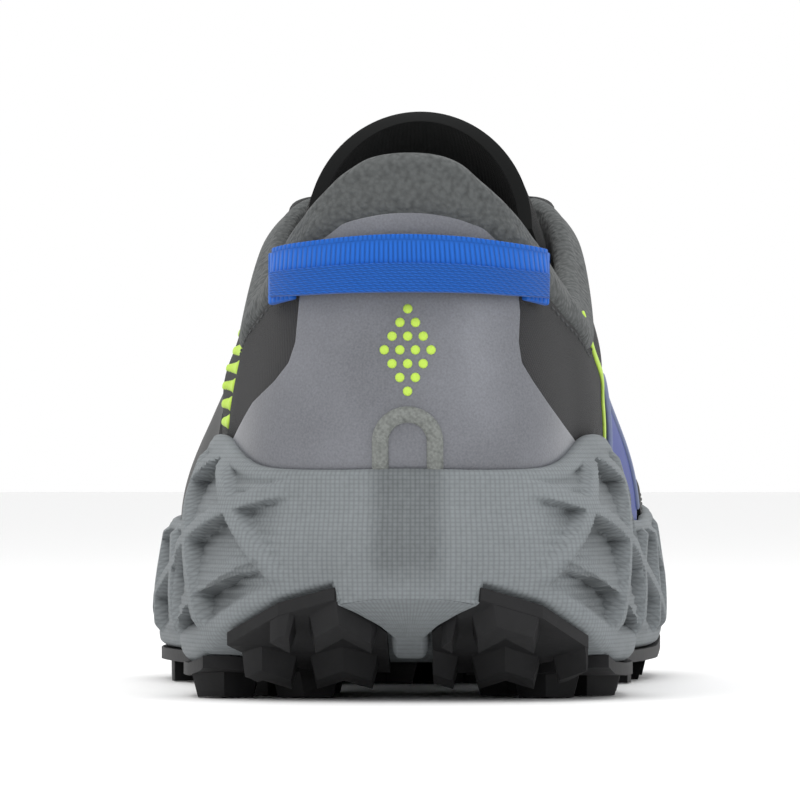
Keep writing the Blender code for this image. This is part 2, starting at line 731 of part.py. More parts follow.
def lug_field():
    # All lugs in one mesh, in staggered rows
    points, faces = [], []
    fine = np.linspace(0.0, 1.0, 8 * COLUMNS)
    out_x, out_y = plan_outward(fine)
    reach = ring("flange", fine) * SIDE_LEVELS[0][2]
    edge_x, edge_y = ring("foot_x", fine) + out_x * reach, ring("foot_y", fine) + out_y * reach
    waist_back, waist_front = TREAD_WAIST[0] * LENGTH, TREAD_WAIST[1] * LENGTH
    for row in range(int(LENGTH / LUG_PITCH_Y) + 1):
        y = HEEL_BEVEL_LENGTH / 4 + row * LUG_PITCH_Y
        near = np.abs(edge_y - y) < LUG_PITCH_Y / 2
        if not near.any() or waist_back - LUG_LENGTH / 4 < y < waist_front + LUG_LENGTH / 4:
            continue
        low, high = edge_x[near].min(), edge_x[near].max()
        heel = y < waist_front
        count = max(1, int((high - low) / LUG_PITCH_X))
        stagger = LUG_PITCH_X / 4 * (1 if row % 2 else -1)
        for index in range(count):
            x = (low + high) / 2 + stagger + (index - (count - 1) / 2) * LUG_PITCH_X
            if heel and abs(x) < (CHANNEL + LUG_WIDTH) / 2 and y > HEEL_BEVEL_LENGTH:
                continue
            more_points, more_faces = lug(x, y, -1 if heel else 1)
            start = len(points)
            points += more_points
            faces += [tuple(start + k for k in face) for face in more_faces]
    return make_body("lugs", points, faces, "rubber")


def tread_outlines():
    # Plan outline of each rubber piece
    half, wide = CHANNEL / 2, BALL_WIDTH
    waist_back, waist_front = TREAD_WAIST[0] * LENGTH, TREAD_WAIST[1] * LENGTH
    beside_finger = FINGER_WIDTH / 2 + 2 * GAP
    pads = {}
    for side, label in ((-1, "outer"), (1, "inner")):
        edge = [(side * x * HEEL_WIDTH, y * HEEL_BEVEL_LENGTH) for x, y in PAD_EDGE]
        pads["outsole_heel_" + label] = [(side * half, HEEL_BEVEL_LENGTH)] + edge + [
            (side * wide, edge[-1][1]), (side * wide, waist_back), (side * half * 1.6, waist_back - half),
            (side * half, waist_back - CHANNEL),
        ]
        flank = [(side * (x + 2 * GAP), y) for x, y in finger_side()[:5]]
        lobe = [(side * x * HEEL_WIDTH, y * HEEL_BEVEL_LENGTH) for x, y in LOBE_OUTLINE]
        pads["outsole_lobe_" + label] = [(side * beside_finger, 0.92 * HEEL_BEVEL_LENGTH)] + flank[::-1] + lobe
    pads["outsole_forefoot"] = [
        (-wide, waist_front), (-0.30 * wide, waist_front + half), (0.0, waist_front - half),
        (0.30 * wide, waist_front + half), (wide, waist_front), (wide, 2 * LENGTH), (-wide, 2 * LENGTH),
    ]
    return pads


def make_outsole():
    lugs = lug_field()
    edge = [(float(p[0]), float(p[1])) for p in rubber_ring(inset=GAP / 2)]
    combine(lugs, prism("sole_edge", edge, "z", -LIP_HEIGHT, LIP_HEIGHT), "INTERSECT")
    sheet = stack_body("rubber", [rubber_ring(GAP + RUBBER), rubber_ring(GAP)], "rubber")
    combine(sheet, lugs, "UNION")
    pads = []
    for name, outline in tread_outlines().items():
        pad = bpy.data.objects.new(name, sheet.data.copy())
        bpy.context.collection.objects.link(pad)
        combine(pad, prism(name + "_cut", outline, "z", -LIP_HEIGHT, 2 * LIP_HEIGHT), "INTERSECT")
        pads.append(keep_largest(pad))
    bpy.data.objects.remove(sheet, do_unlink=True)
    return pads


def make_insole():
    clear = WALL + 6 * GAP
    low = sole_ring(np.full(COLUMNS, -clear), np.zeros(COLUMNS))
    low[:, 2] = foot_bed(low[:, 1]) + GAP
    edge = low.copy()
    edge[:, 2] += INSOLE + INSOLE_CUP
    inner = sole_ring(np.full(COLUMNS, -clear - INSOLE_RIM), np.zeros(COLUMNS))
    inner[:, 2] = foot_bed(inner[:, 1]) + GAP + INSOLE
    return stack_body("insole", [low, edge, inner], "foot_bed")


# Upper and its overlays

def around_grid(rows):
    return np.broadcast_to(AROUND[None, :], rows.shape)


def make_upper():
    columns = np.arange(COLUMNS)[None, :]
    outer = wall_surface(around_grid(ROWS), ROWS)
    inner = wall_surface(around_grid(ROWS), ROWS, -thickness(ROWS, np.broadcast_to(columns, ROWS.shape)))
    inner[0, :, 2] = outer[0, :, 2]
    upper = shell_body("upper", outer, inner, True, "mesh")
    return upper


def overlay_shell(name, first_row, last_row, columns, colour, wall=OVERLAY):
    # Shell that lies on the upper between two of its rows
    rows = ROWS[first_row : last_row + 1][:, columns]
    around = AROUND[columns][None, :].repeat(len(rows), axis=0)
    wrap = len(columns) == COLUMNS
    outer = wall_surface(around, rows, GAP + wall)
    inner = wall_surface(around, rows, GAP)
    return shell_body(name, outer, inner, wrap, colour)


def patch_cutter(name, rows):
    # Thick patch of the wall between an outer and an inner edge at each height
    steps = 8
    faces = {COLLAR_PAD: [], -WALL: []}
    for height, left, right in rows:
        for out, grid in faces.items():
            line = []
            for step in range(steps + 1):
                spot, normal = heel_point(left + (right - left) * step / steps, height)
                line.append(spot + normal * out)
            grid.append(line)
    return shell_body(name, np.array(faces[COLLAR_PAD]), np.array(faces[-WALL]), False, "rubber")


def make_counter():
    columns = [i % COLUMNS for i in range(-9, 10)]
    counter = overlay_shell("heel_counter", 1, len(ROWS) - 1, columns, "speckle")
    rows = [
        (up * HEEL_HEIGHT, outer * HEEL_WIDTH, inner * HEEL_WIDTH) for _, up, outer, inner in COUNTER_ROWS
    ]
    combine(counter, patch_cutter("counter_cut", rows), "INTERSECT")
    return counter


def make_toe_cap():
    cap = overlay_shell("toe_cap", 1, STAY_ROW - 1, list(range(12, COLUMNS - 11)), "smooth_black")
    outline = [(y * LENGTH, z * INSTEP_HEIGHT) for y, z in TOE_CAP_LINE]
    combine(cap, prism("toe_cut", outline, "x", -BALL_WIDTH, BALL_WIDTH), "INTERSECT")
    return cap


def make_side_panel(name, side, colour, outline):
    # Overlay between the lip and the throat, cut to its outline
    first, last = (6, 22) if side < 0 else (COLUMNS - 22, COLUMNS - 6)
    panel = overlay_shell(name, 1, STAY_ROW, list(range(first, last + 1)), colour)
    low, high = sorted((0.0, side * BALL_WIDTH))
    shape = smooth_path([(y * LENGTH, z * INSTEP_HEIGHT) for y, z in outline], 3)
    combine(panel, prism(name + "_cut", shape, "x", low, high), "INTERSECT")
    return panel


def throat_columns():
    return [i for i in range(COLUMNS) if not COLLAR[i]]


def eyelet_places():
    # Row by row: outer and inner eyelet as (around, rise)
    places = []
    for side in (-1, 1):
        chosen = [i for i in throat_columns() if (i <= CENTRE_COLUMN if side < 0 else i >= CENTRE_COLUMN)]
        along = ring("rim_y", AROUND[chosen])
        order = np.argsort(along)
        for row in range(EYELET_ROWS):
            y = (EYELET_FIRST - EYELET_STEP * row) * LENGTH
            around = float(np.interp(y, along[order], AROUND[chosen][order]))
            column = int(round(around * COLUMNS)) % COLUMNS
            places.append((around, rise_below_rim(column, STAY_WIDTH * 0.5)))
    return places[:EYELET_ROWS], places[EYELET_ROWS:]


EYELETS_OUT, EYELETS_IN = eyelet_places()


def eyelet_frame(place):
    around, rise = np.array([place[0]]), np.array([place[1]])
    return wall_point(around, rise)[0], wall_normal(around, rise)[0]


def make_eyestay():
    columns = throat_columns()[1:-1]
    return overlay_shell("eyestay", STAY_ROW, len(ROWS) - 1, columns, "smooth_black", wall=OVERLAY * 1.2)


def make_cuff():
    # Padded roll that carries on the wall from the upper's top edge
    order = [i for i in range(COLUMNS) if COLLAR[i]]
    split = order.index(next(i for i in order if i > CENTRE_COLUMN))
    order = order[split:] + order[:split]
    sections = []
    for i in order:
        around = np.array([AROUND[i]])
        low = CUFF_RISE[i]
        pad = float(thickness(np.array([TOP_RISE[i]]), np.array([i]))[0])
        loop = []
        for share in (0.0, 0.45, 0.85):
            loop.append(wall_surface(around, np.array([low + (1.0 - low) * share]), 0.0)[0])
        top, normal = wall_surface(around, np.array([1.0]), 0.0)[0], wall_normal(around, np.array([0.999]))[0]
        upward = wall_point(around, np.array([1.0]))[0] - wall_point(around, np.array([0.97]))[0]
        upward /= np.linalg.norm(upward)
        for angle in (30.0, 90.0, 150.0):
            reach = math.radians(angle)
            loop.append(top - normal * pad * (0.5 - 0.5 * math.cos(reach)) + upward * pad * 0.45 * math.sin(reach))
        for share in (0.85, 0.45, 0.0):
            loop.append(wall_surface(around, np.array([low + (1.0 - low) * share]), -pad)[0])
        sections.append(np.array(loop))
    # Both ends stop short of the wall that rises to the top eyelets
    sections[0] = sections[0] * 0.8 + sections[1] * 0.2
    sections[-1] = sections[-1] * 0.8 + sections[-2] * 0.2
    cuff = sweep_body("collar_cuff", sections, "crepe")
    shade(cuff, 50.0)
    return cuff


def make_tape():
    # Webbing across the heel, proud of the counter, with its ends folded back
    steps = 12
    outer_rows, inner_rows = [], []
    for level in (-0.5, 0.0, 0.5):
        outer, inner = [], []
        for step in range(steps + 1):
            share = step / steps * 2.0 - 1.0
            height = TAPE_PLACE * HEEL_HEIGHT - TAPE_DROOP * share**2 + level * TAPE_WIDTH
            x = share * TAPE_SPAN / 2
            spot, normal = heel_point(x, height)
            # The ends lie on the upper, outside the counter; the middle stands off for a finger
            lift = 1.3 * GAP if abs(share) > 0.99 else 2 * GAP + OVERLAY + TAPE_ROOM * (1.0 - share**4)
            inner.append(spot + normal * lift)
            outer.append(spot + normal * (lift + TAPE_WALL))
        outer_rows.append(outer)
        inner_rows.append(inner)
    tape = shell_body("heel_tape", np.array(outer_rows), np.array(inner_rows), False, "webbing")
    return tape


def heel_point(x, height):
    # Point and normal of the upper's heel at a given place across and height
    around = -x / GIRTH
    for _ in range(12):
        column = np.array([around % 1.0])
        profile = wall_point(column.repeat(len(SAMPLES)), SAMPLES)
        rise = float(np.interp(height, profile[:, 2], SAMPLES))
        spot = wall_point(column, np.array([rise]))[0]
        around += (spot[0] - x) / GIRTH
    column = np.array([around % 1.0])
    return wall_point(column, np.array([rise]))[0], wall_normal(column, np.array([rise]))[0]


def make_heel_trim():
    # Raised arch at the foot of the counter
    foot = 0.87 * LIP_HEIGHT + 4 * GAP
    half = TRIM_SPAN / 2 - TRIM_WIDTH / 2
    straight = TRIM_HEIGHT - half - TRIM_WIDTH / 2
    path = [(-half, foot), (-half, foot + straight * 0.6)]
    path += [(-half * math.cos(math.radians(a)), foot + straight + half * math.sin(math.radians(a)))
             for a in (0, 36, 72, 108, 144, 180)]
    path += [(half, foot + straight * 0.6), (half, foot)]
    sections = []
    for index, (x, z) in enumerate(path):
        before, after = path[max(index - 1, 0)], path[min(index + 1, len(path) - 1)]
        run = np.array([after[0] - before[0], after[1] - before[1]])
        run /= np.linalg.norm(run)
        side = np.array([-run[1], run[0]]) * TRIM_WIDTH / 2
        section = []
        for reach, lift in ((-1, 0.0), (-0.6, TRIM_WALL), (0.6, TRIM_WALL), (1, 0.0)):
            spot, normal = heel_point(x + side[0] * reach, z + side[1] * reach)
            section.append(spot + normal * (2.4 * GAP + OVERLAY + lift))
        sections.append(np.array(section))
    return sweep_body("heel_trim", sections, "crepe")


# Tongue and lace

def tongue_table():
    along = np.array([row[1] * LENGTH for row in TONGUE_ROWS])
    height = np.array([row[2] * INSTEP_HEIGHT for row in TONGUE_ROWS])
    half = np.array([row[3] * COLLAR_WIDTH for row in TONGUE_ROWS])
    fall = np.array([row[4] * INSTEP_HEIGHT for row in TONGUE_ROWS])
    ahead = np.array([row[5] for row in TONGUE_ROWS])
    return along, height, half, fall, ahead


def make_tongue():
    along, height, half, fall, ahead = tongue_table()
    across = 10
    grid = np.zeros((len(along), across + 1, 3))
    for i in range(across + 1):
        angle = (i / across - 0.5) * math.pi
        grid[:, i, 0] = half * math.sin(angle)
        grid[:, i, 1] = along + fall * ahead * (1.0 - math.cos(angle))
        grid[:, i, 2] = height - fall * (1.0 - math.cos(angle))
    normal = np.cross(np.gradient(grid, axis=1), np.gradient(grid, axis=0))
    normal /= np.linalg.norm(normal, axis=2, keepdims=True)
    if normal[0, across // 2, 2] < 0:
        normal = -normal
    tongue = shell_body("tongue", grid, grid - normal * TONGUE_WALL, False, "smooth_black")
    shade(tongue, 50.0)
    return tongue


def rim_place(place, lift):
    # Where a strand passes over the throat's edge
    around = np.array([place[0]])
    edge, inside = wall_point(around, np.array([1.0]))[0], wall_point(around, np.array([0.95]))[0]
    inward = (edge - inside) / np.linalg.norm(edge - inside)
    return edge + wall_normal(around, np.array([0.99]))[0] * lift * 1.3 + inward * LACE_CLEAR


def lace_strand(name, start, end, over):
    # Flat strand between two eyelets, arched over the tongue; the upper strand of a crossing is over
    lift = GAP + OVERLAY * 1.2 + LACE_CLEAR + LACE_WALL / 2 + over * LACE_WALL * 0.3
    (spot_a, normal_a), (spot_b, normal_b) = eyelet_frame(start), eyelet_frame(end)
    place_a, place_b = spot_a + normal_a * lift, spot_b + normal_b * lift
    rim_a, rim_b = rim_place(start, lift), rim_place(end, lift)
    middle = (rim_a + rim_b) / 2 + np.array([0.0, 0.0, LACE_ARCH])
    path = np.array([place_a, rim_a, middle, rim_b, place_b])
    path[0] += (path[0] - path[1]) * 0.12 * (1 + over)
    path[-1] += (path[-1] - path[-2]) * 0.12 * (1 + over)
    sections = []
    for index, spot in enumerate(path):
        run = path[min(index + 1, len(path) - 1)] - path[max(index - 1, 0)]
        run /= np.linalg.norm(run)
        share = index / (len(path) - 1)
        up = normal_a * (1 - share) + normal_b * share + np.array([0.0, 0.0, 1.0])
        side = np.cross(run, up)
        side /= np.linalg.norm(side)
        up = np.cross(side, run)
        half, thick = side * LACE_WIDTH * (0.5 - 0.03 * over), up * LACE_WALL / 2
        sections.append(np.array([spot - half - thick, spot + half - thick, spot + half + thick, spot - half + thick]))
    return sweep_body(name, sections, "lace")


def make_lace():
    lace = lace_strand("lace", EYELETS_OUT[0], EYELETS_IN[0], 0.5)
    for row in range(EYELET_ROWS - 1):
        combine(lace, lace_strand("strand", EYELETS_OUT[row], EYELETS_IN[row + 1], row % 2), "UNION")
        combine(lace, lace_strand("strand", EYELETS_IN[row], EYELETS_OUT[row + 1], 1 - row % 2), "UNION")
    return lace


def centre_on_floor():
    # Origin at the middle of the shoe's box, on the floor
    low, high = Vector((1e9,) * 3), Vector((-1e9,) * 3)
    bodies = [o for o in bpy.data.objects if o.type == "MESH" and not o.hide_render]
    for body in bodies:
        for vertex in body.data.vertices:
            for axis in range(3):
                low[axis] = min(low[axis], vertex.co[axis])
                high[axis] = max(high[axis], vertex.co[axis])
    shift = Vector((-(low.x + high.x) / 2, -(low.y + high.y) / 2, -low.z))
    for body in bodies:
        for vertex in body.data.vertices:
            vertex.co += shift
    print("shift", tuple(round(v, 5) for v in shift), "size", tuple(round(v, 4) for v in high - low))


def main():
    clear_scene()
    make_midsole()
    make_outsole()
    make_insole()
    make_upper()
    make_tongue()
    make_cuff()
    make_counter()
    make_toe_cap()
    make_side_panel("inner_panel", 1, "deep_blue", INNER_PANEL)
    make_side_panel("outer_panel", -1, "smooth_black", OUTER_PANEL)
    make_eyestay()
    make_tape()
    make_heel_trim()
    make_lace()
    centre_on_floor()


main()
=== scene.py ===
import math

import bmesh
import bpy
import numpy as np
from mathutils import Matrix, Vector


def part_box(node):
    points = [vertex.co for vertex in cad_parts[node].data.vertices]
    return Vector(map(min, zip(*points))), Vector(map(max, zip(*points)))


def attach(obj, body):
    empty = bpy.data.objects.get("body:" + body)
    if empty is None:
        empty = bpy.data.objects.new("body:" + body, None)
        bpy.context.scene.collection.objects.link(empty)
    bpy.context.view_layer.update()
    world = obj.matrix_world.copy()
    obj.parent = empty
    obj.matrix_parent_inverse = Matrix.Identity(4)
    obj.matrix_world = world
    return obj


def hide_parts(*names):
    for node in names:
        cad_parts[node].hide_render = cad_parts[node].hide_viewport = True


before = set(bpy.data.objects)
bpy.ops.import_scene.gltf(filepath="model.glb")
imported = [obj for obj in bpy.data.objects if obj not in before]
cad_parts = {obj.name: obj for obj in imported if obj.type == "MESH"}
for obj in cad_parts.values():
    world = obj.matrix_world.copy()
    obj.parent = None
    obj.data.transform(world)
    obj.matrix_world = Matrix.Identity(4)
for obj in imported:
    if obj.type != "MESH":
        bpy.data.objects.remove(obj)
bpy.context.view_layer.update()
print("frame loaded")

# Size of the shoe in metres, as the solids have it
shoe = {
    "length": 0.300, "ball": 0.112, "waist": 0.082, "heel": 0.094, "collarWidth": 0.070,
    "heelHeight": 0.108, "instepHeight": 0.104, "heelStack": 0.037, "ballStack": 0.028, "lipHeight": 0.054,
    "wall": 0.0022, "collarPad": 0.0056, "frontPad": 0.0036, "overlay": 0.0010, "gap": 0.0003,
    "seatGap": 0.0005, "flange": 0.0085, "lipWall": 0.0030, "cuffBand": 0.0105, "stayWidth": 0.0140,
    "insole": 0.0045,
    "rubber": 0.0026, "lugDepth": 0.0044, "bevelLength": 0.040, "bevelRise": 0.0193, "archRise": 0.0045,
    "toeSpring": 0.0165, "springStart": 0.212, "footSpring": 0.0100,
}

# Wall sections from the heel's back along the outer side to the toe and home again:
# place, width, footX, footY, height, rimX, rimY, rimZ, belly, bellyUp, shoulder, shoulderDown, flange, lip
sections = (
    ("heel back", "heel", 0.0, 0.03, "collar", 0.0, 0.014, 1.0, 0.095, 0.32, -0.07, 0.3, 0.95, 0.865),
    ("arch out", "heel", -0.15, 0.0375, "collar", -0.16, 0.0215, 0.982, 0.085, 0.32, -0.055, 0.3, 0.97, 0.86),
    ("bend out", "heel", -0.266, 0.057, "collar", -0.271, 0.04, 0.93, 0.055, 0.3, -0.02, 0.3, 1.05, 0.865),
    ("rear out", "heel", -0.385, 0.16, "collar", -0.443, 0.133, 0.79, 0.036, 0.35, 0.03, 0.3, 1.45, 0.99),
    ("ankle out", "heel", -0.412, 0.267, "collar", -0.493, 0.22, 0.74, 0.04, 0.35, 0.03, 0.3, 1.15, 0.94),
    ("waist out", "waist", -0.488, 0.373, "instep", -0.44, 0.347, 0.95, 0.07, 0.36, 0.07, 0.34, 0.75, 0.78),
    ("throat out", "waist", -0.53, 0.467, "instep", -0.343, 0.413, 1.0, 0.05, 0.36, 0.09, 0.22, 0.7, 0.68),
    ("vamp out", "ball", -0.455, 0.573, "instep", -0.271, 0.507, 0.885, 0.045, 0.4, 0.13, 0.16, 0.75, 0.64),
    ("ball out", "ball", -0.491, 0.693, "instep", -0.186, 0.6, 0.769, 0.04, 0.45, 0.19, 0.12, 0.8, 0.65),
    ("toe side out", "ball", -0.429, 0.82, "instep", -0.129, 0.653, 0.707, 0.03, 0.5, 0.24, 0.1, 0.8, 0.69),
    ("tip out", "ball", -0.268, 0.927, "instep", -0.093, 0.665, 0.692, 0.02, 0.52, 0.3, 0.08, 0.85, 0.76),
    ("toe tip", "ball", 0.0, 0.972, "instep", -0.029, 0.67, 0.688, 0.015, 0.55, 0.34, 0.07, 0.95, 0.8),
    ("tip in", "ball", 0.232, 0.943, "instep", 0.036, 0.665, 0.692, 0.02, 0.52, 0.32, 0.08, 0.85, 0.78),
    ("toe side in", "ball", 0.366, 0.86, "instep", 0.079, 0.653, 0.707, 0.03, 0.5, 0.27, 0.1, 0.8, 0.71),
    ("ball in", "ball", 0.393, 0.727, "instep", 0.129, 0.6, 0.769, 0.035, 0.47, 0.18, 0.12, 0.72, 0.65),
    ("vamp in", "ball", 0.375, 0.593, "instep", 0.214, 0.507, 0.885, 0.04, 0.42, 0.12, 0.16, 0.62, 0.64),
    ("throat in", "waist", 0.451, 0.473, "instep", 0.329, 0.413, 1.0, 0.05, 0.38, 0.09, 0.22, 0.58, 0.68),
    ("waist in", "waist", 0.433, 0.373, "instep", 0.44, 0.347, 0.95, 0.06, 0.36, 0.06, 0.34, 0.65, 0.8),
    ("ankle in", "heel", 0.372, 0.267, "collar", 0.493, 0.22, 0.74, 0.04, 0.35, 0.03, 0.3, 1.25, 0.94),
    ("rear in", "heel", 0.338, 0.16, "collar", 0.443, 0.133, 0.79, 0.036, 0.35, 0.03, 0.3, 1.6, 0.99),
    ("bend in", "heel", 0.246, 0.057, "collar", 0.271, 0.04, 0.93, 0.055, 0.3, -0.02, 0.3, 1.15, 0.865),
    ("arch in", "heel", 0.15, 0.0375, "collar", 0.16, 0.0215, 0.982, 0.085, 0.32, -0.055, 0.3, 0.97, 0.86),
)


def softStep(value):
    value = np.clip(value, 0.0, 1.0)
    return value * value * (3.0 - 2.0 * value)


def toeLift(y, amount):
    past = np.clip((y - shoe["springStart"]) / (shoe["length"] - shoe["springStart"]), 0, None)
    return amount * past ** 1.8


def soleBottom(y):
    heel = shoe["bevelRise"] * np.clip(1.0 - y / shoe["bevelLength"], 0.0, None) ** 1.6
    waist = shoe["archRise"] * softStep(1.0 - np.abs(y / shoe["length"] - 0.42) / 0.09)
    return shoe["lugDepth"] + shoe["rubber"] + shoe["gap"] + heel + waist + toeLift(y, shoe["toeSpring"])


def footBed(y):
    drop = softStep((y / shoe["length"] - 0.20) / 0.45)
    return shoe["heelStack"] + (shoe["ballStack"] - shoe["heelStack"]) * drop + toeLift(y, shoe["footSpring"])


def sectionTable():
    # each column in metres, by the size that it is a share of
    heights = {"collar": shoe["heelHeight"], "instep": shoe["instepHeight"]}
    columns = {"footX": np.array([row[2] * shoe[row[1]] for row in sections]),
               "rimZ": np.array([row[7] * heights[row[4]] for row in sections])}
    for name, place, size in (("footY", 3, shoe["length"]), ("rimX", 5, shoe["collarWidth"]),
                              ("rimY", 6, shoe["length"]), ("belly", 8, shoe["ball"]), ("bellyUp", 9, 1.0),
                              ("shoulder", 10, shoe["ball"]), ("shoulderDown", 11, 1.0),
                              ("flange", 12, shoe["flange"]), ("lip", 13, shoe["lipHeight"])):
        columns[name] = np.array([row[place] * size for row in sections])
    closedX, closedY = (np.append(columns[name], columns[name][0]) for name in ("footX", "footY"))
    steps = np.hypot(np.diff(closedX), np.diff(closedY))
    return np.concatenate(([0.0], np.cumsum(steps)[:-1])) / steps.sum(), columns, steps.sum()


knots, table, girth = sectionTable()
places = [row[0] for row in sections]
frontOut, frontIn = knots[places.index("throat out")], knots[places.index("throat in")]


def smoothRun(before, after, slopeBefore, slopeAfter, width, t):
    # cubic from one knot to the next, by its values and slopes
    return (before * (2 * t**3 - 3 * t**2 + 1) + slopeBefore * width * (t**3 - 2 * t**2 + t)
            + after * (-2 * t**3 + 3 * t**2) + slopeAfter * width * (t**3 - t**2))


def ring(name, around):
    # closed smooth curve through one column of the table
    values = table[name]
    span = np.diff(np.append(knots, 1.0))
    step = (np.roll(values, -1) - values) / span
    before, beforeSpan = np.roll(step, 1), np.roll(span, 1)
    slope = (step * beforeSpan + before * span) / (span + beforeSpan)
    at = np.mod(around, 1.0)
    low = np.clip(np.searchsorted(knots, at, side="right") - 1, 0, len(values) - 1)
    high = (low + 1) % len(values)
    width = span[low]
    return smoothRun(values[low], values[high], slope[low], slope[high], width, (at - knots[low]) / width)


def planOutward(around):
    dx = ring("footX", around + 0.002) - ring("footX", around - 0.002)
    dy = ring("footY", around + 0.002) - ring("footY", around - 0.002)
    size = np.hypot(dx, dy)
    return -dy / size, dx / size


def wallPoint(around, rise):
    # point of the upper's outer face; rise runs from 0 at the foot bed to 1 at the rim
    around, rise = np.broadcast_arrays(np.asarray(around, float), np.asarray(rise, float))
    outX, outY = planOutward(around)
    footX, footY = ring("footX", around), ring("footY", around)
    rimX, rimY, rimZ = ring("rimX", around), ring("rimY", around), ring("rimZ", around)
    footZ = footBed(footY) + shoe["gap"]
    height = rimZ - footZ
    belly, shoulder = ring("belly", around), ring("shoulder", around)
    a, b, c, d = (1 - rise) ** 3, 3 * (1 - rise) ** 2 * rise, 3 * (1 - rise) * rise**2, rise**3
    return np.stack([
        (a + b) * footX + b * outX * belly + (c + d) * rimX + c * outX * shoulder,
        (a + b) * footY + b * outY * belly + (c + d) * rimY + c * outY * shoulder,
        (a + b) * footZ + b * ring("bellyUp", around) * height + (c + d) * rimZ
        - c * ring("shoulderDown", around) * height,
    ], axis=-1)


def unit(vectors):
    return vectors / np.maximum(np.linalg.norm(vectors, axis=-1, keepdims=True), 1e-12)


def wallNormal(around, rise):
    around, rise = np.broadcast_arrays(np.asarray(around, float), np.asarray(rise, float))
    along = wallPoint(around + 0.003, rise) - wallPoint(around - 0.003, rise)
    upward = wallPoint(around, np.minimum(rise + 0.01, 1)) - wallPoint(around, np.maximum(rise - 0.01, 0))
    return unit(np.cross(upward, along))


def wallSurface(around, rise, out):
    return wallPoint(around, rise) + wallNormal(around, rise) * np.asarray(out)[..., None]


# Fine columns, from which heights and lengths along the wall are read
fineCount, fineSteps = 480, 100
fineAround = np.arange(fineCount) / fineCount
fineRise = np.linspace(0.0, 1.0, fineSteps + 1)
fineProfile = wallPoint(fineAround[None, :], fineRise[:, None])
fineArc = np.concatenate((np.zeros((1, fineCount)),
                          np.cumsum(np.linalg.norm(np.diff(fineProfile, axis=0), axis=2), axis=0)))


def overColumns(values):
    # function of the place around, from one value per fine column
    ends = np.append(values, values[0])
    spots = np.append(fineAround, 1.0)

    def at(around):
        return np.interp(np.mod(around, 1.0), spots, ends)
    return at


def riseAtHeight(height):
    return np.array([np.interp(height[i], fineProfile[:, i, 2], fineRise) for i in range(fineCount)])


def riseBelowRim(distance):
    return np.array([np.interp(fineArc[-1, i] - distance[i], fineArc[:, i], fineRise)
                     for i in range(fineCount)])


def riseFor(around, height):
    # rise at which the wall reaches a height
    column = np.mod(around, 1.0).ravel() * fineCount
    low = column.astype(int) % fineCount
    share = column - np.floor(column)
    levels = fineProfile[:, low, 2] * (1 - share) + fineProfile[:, (low + 1) % fineCount, 2] * share
    index = np.clip((levels < height.ravel()).sum(axis=0), 1, fineSteps)
    spots = np.arange(len(low))
    before, after = levels[index - 1, spots], levels[index, spots]
    rise = (index - 1 + np.clip((height.ravel() - before) / (after - before), 0, 1)) / fineSteps
    return rise.reshape(np.shape(around))


def heelSpot(x, height):
    # place around and rise of the heel's point at a place across and a height
    x, height = np.broadcast_arrays(np.asarray(x, float), np.asarray(height, float))
    around = -x / 0.62
    for _ in range(20):
        rise = riseFor(around, height)
        around = around + (wallPoint(around, rise)[..., 0] - x) / 0.75
    return around, riseFor(around, height)


def sideSpot(side, y, height):
    # the same for a place along one side, which is 1 for the outer side and -1 for the inner one
    y, height = np.broadcast_arrays(np.asarray(y, float), np.asarray(height, float))
    around = np.clip(y / shoe["length"], 0.04, 0.96) * 0.46 * side
    for _ in range(24):
        rise = riseFor(around, height)
        around = around + side * np.clip(y - wallPoint(around, rise)[..., 1], -0.02, 0.02) / 0.72
    return around, riseFor(around, height)


# How the collar fades into the throat, as shares of the way round
rim = {"sideBand": 0.72, "heelHalf": 0.075, "padFade": 0.02, "padRise": 0.09,
       "collarEnd": 0.01, "collarFade": 0.012}


def cuffHeight(around):
    fold = np.minimum(np.mod(around, 1.0), 1.0 - np.mod(around, 1.0))
    atHeel = np.exp(-((fold / rim["heelHalf"]) ** 2))
    return shoe["cuffBand"] * (rim["sideBand"] + (1.0 - rim["sideBand"]) * atHeel)


def collarPad(around):
    behind = np.maximum(frontOut - around, around - frontIn)
    front = shoe["wall"] + (shoe["frontPad"] - shoe["wall"]) * softStep(behind / rim["padFade"] + 0.5)
    atHeel = softStep((behind - rim["padFade"]) / rim["padRise"])
    return front + (shoe["collarPad"] - shoe["frontPad"]) * atHeel


inCollar = np.maximum(frontOut - rim["collarEnd"] - fineAround, fineAround - frontIn - rim["collarEnd"])
collarShare = softStep(inCollar / rim["collarFade"] + 0.5)
lipRise = overColumns(riseAtHeight(ring("lip", fineAround)))
cuffRise = overColumns(riseBelowRim(cuffHeight(fineAround)))
topRise = overColumns(1.0 - (1.0 - riseBelowRim(cuffHeight(fineAround))) * collarShare)
stayRise = overColumns(riseBelowRim(np.full(fineCount, shoe["stayWidth"])))
eyeletRise = overColumns(riseBelowRim(np.full(fineCount, shoe["stayWidth"] * 0.5)))
padAt = overColumns(collarPad(fineAround))

# Where the shoe's own heel line lies in the frame, read from the solid upper with its columns and rows
solidLow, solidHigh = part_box("upper")
solidColumns, solidRows = 56, 8
ownWall = wallPoint(np.arange(solidColumns)[None, :] / solidColumns,
                    np.linspace(0, 1, solidRows + 1)[:, None])
placeShift = np.array([(solidLow[0] + solidHigh[0]) / 2 - (ownWall[..., 0].min() + ownWall[..., 0].max()) / 2,
                       solidLow[1] - ownWall[..., 1].min(), 0.0])
print("form ready, shift", placeShift.round(5))


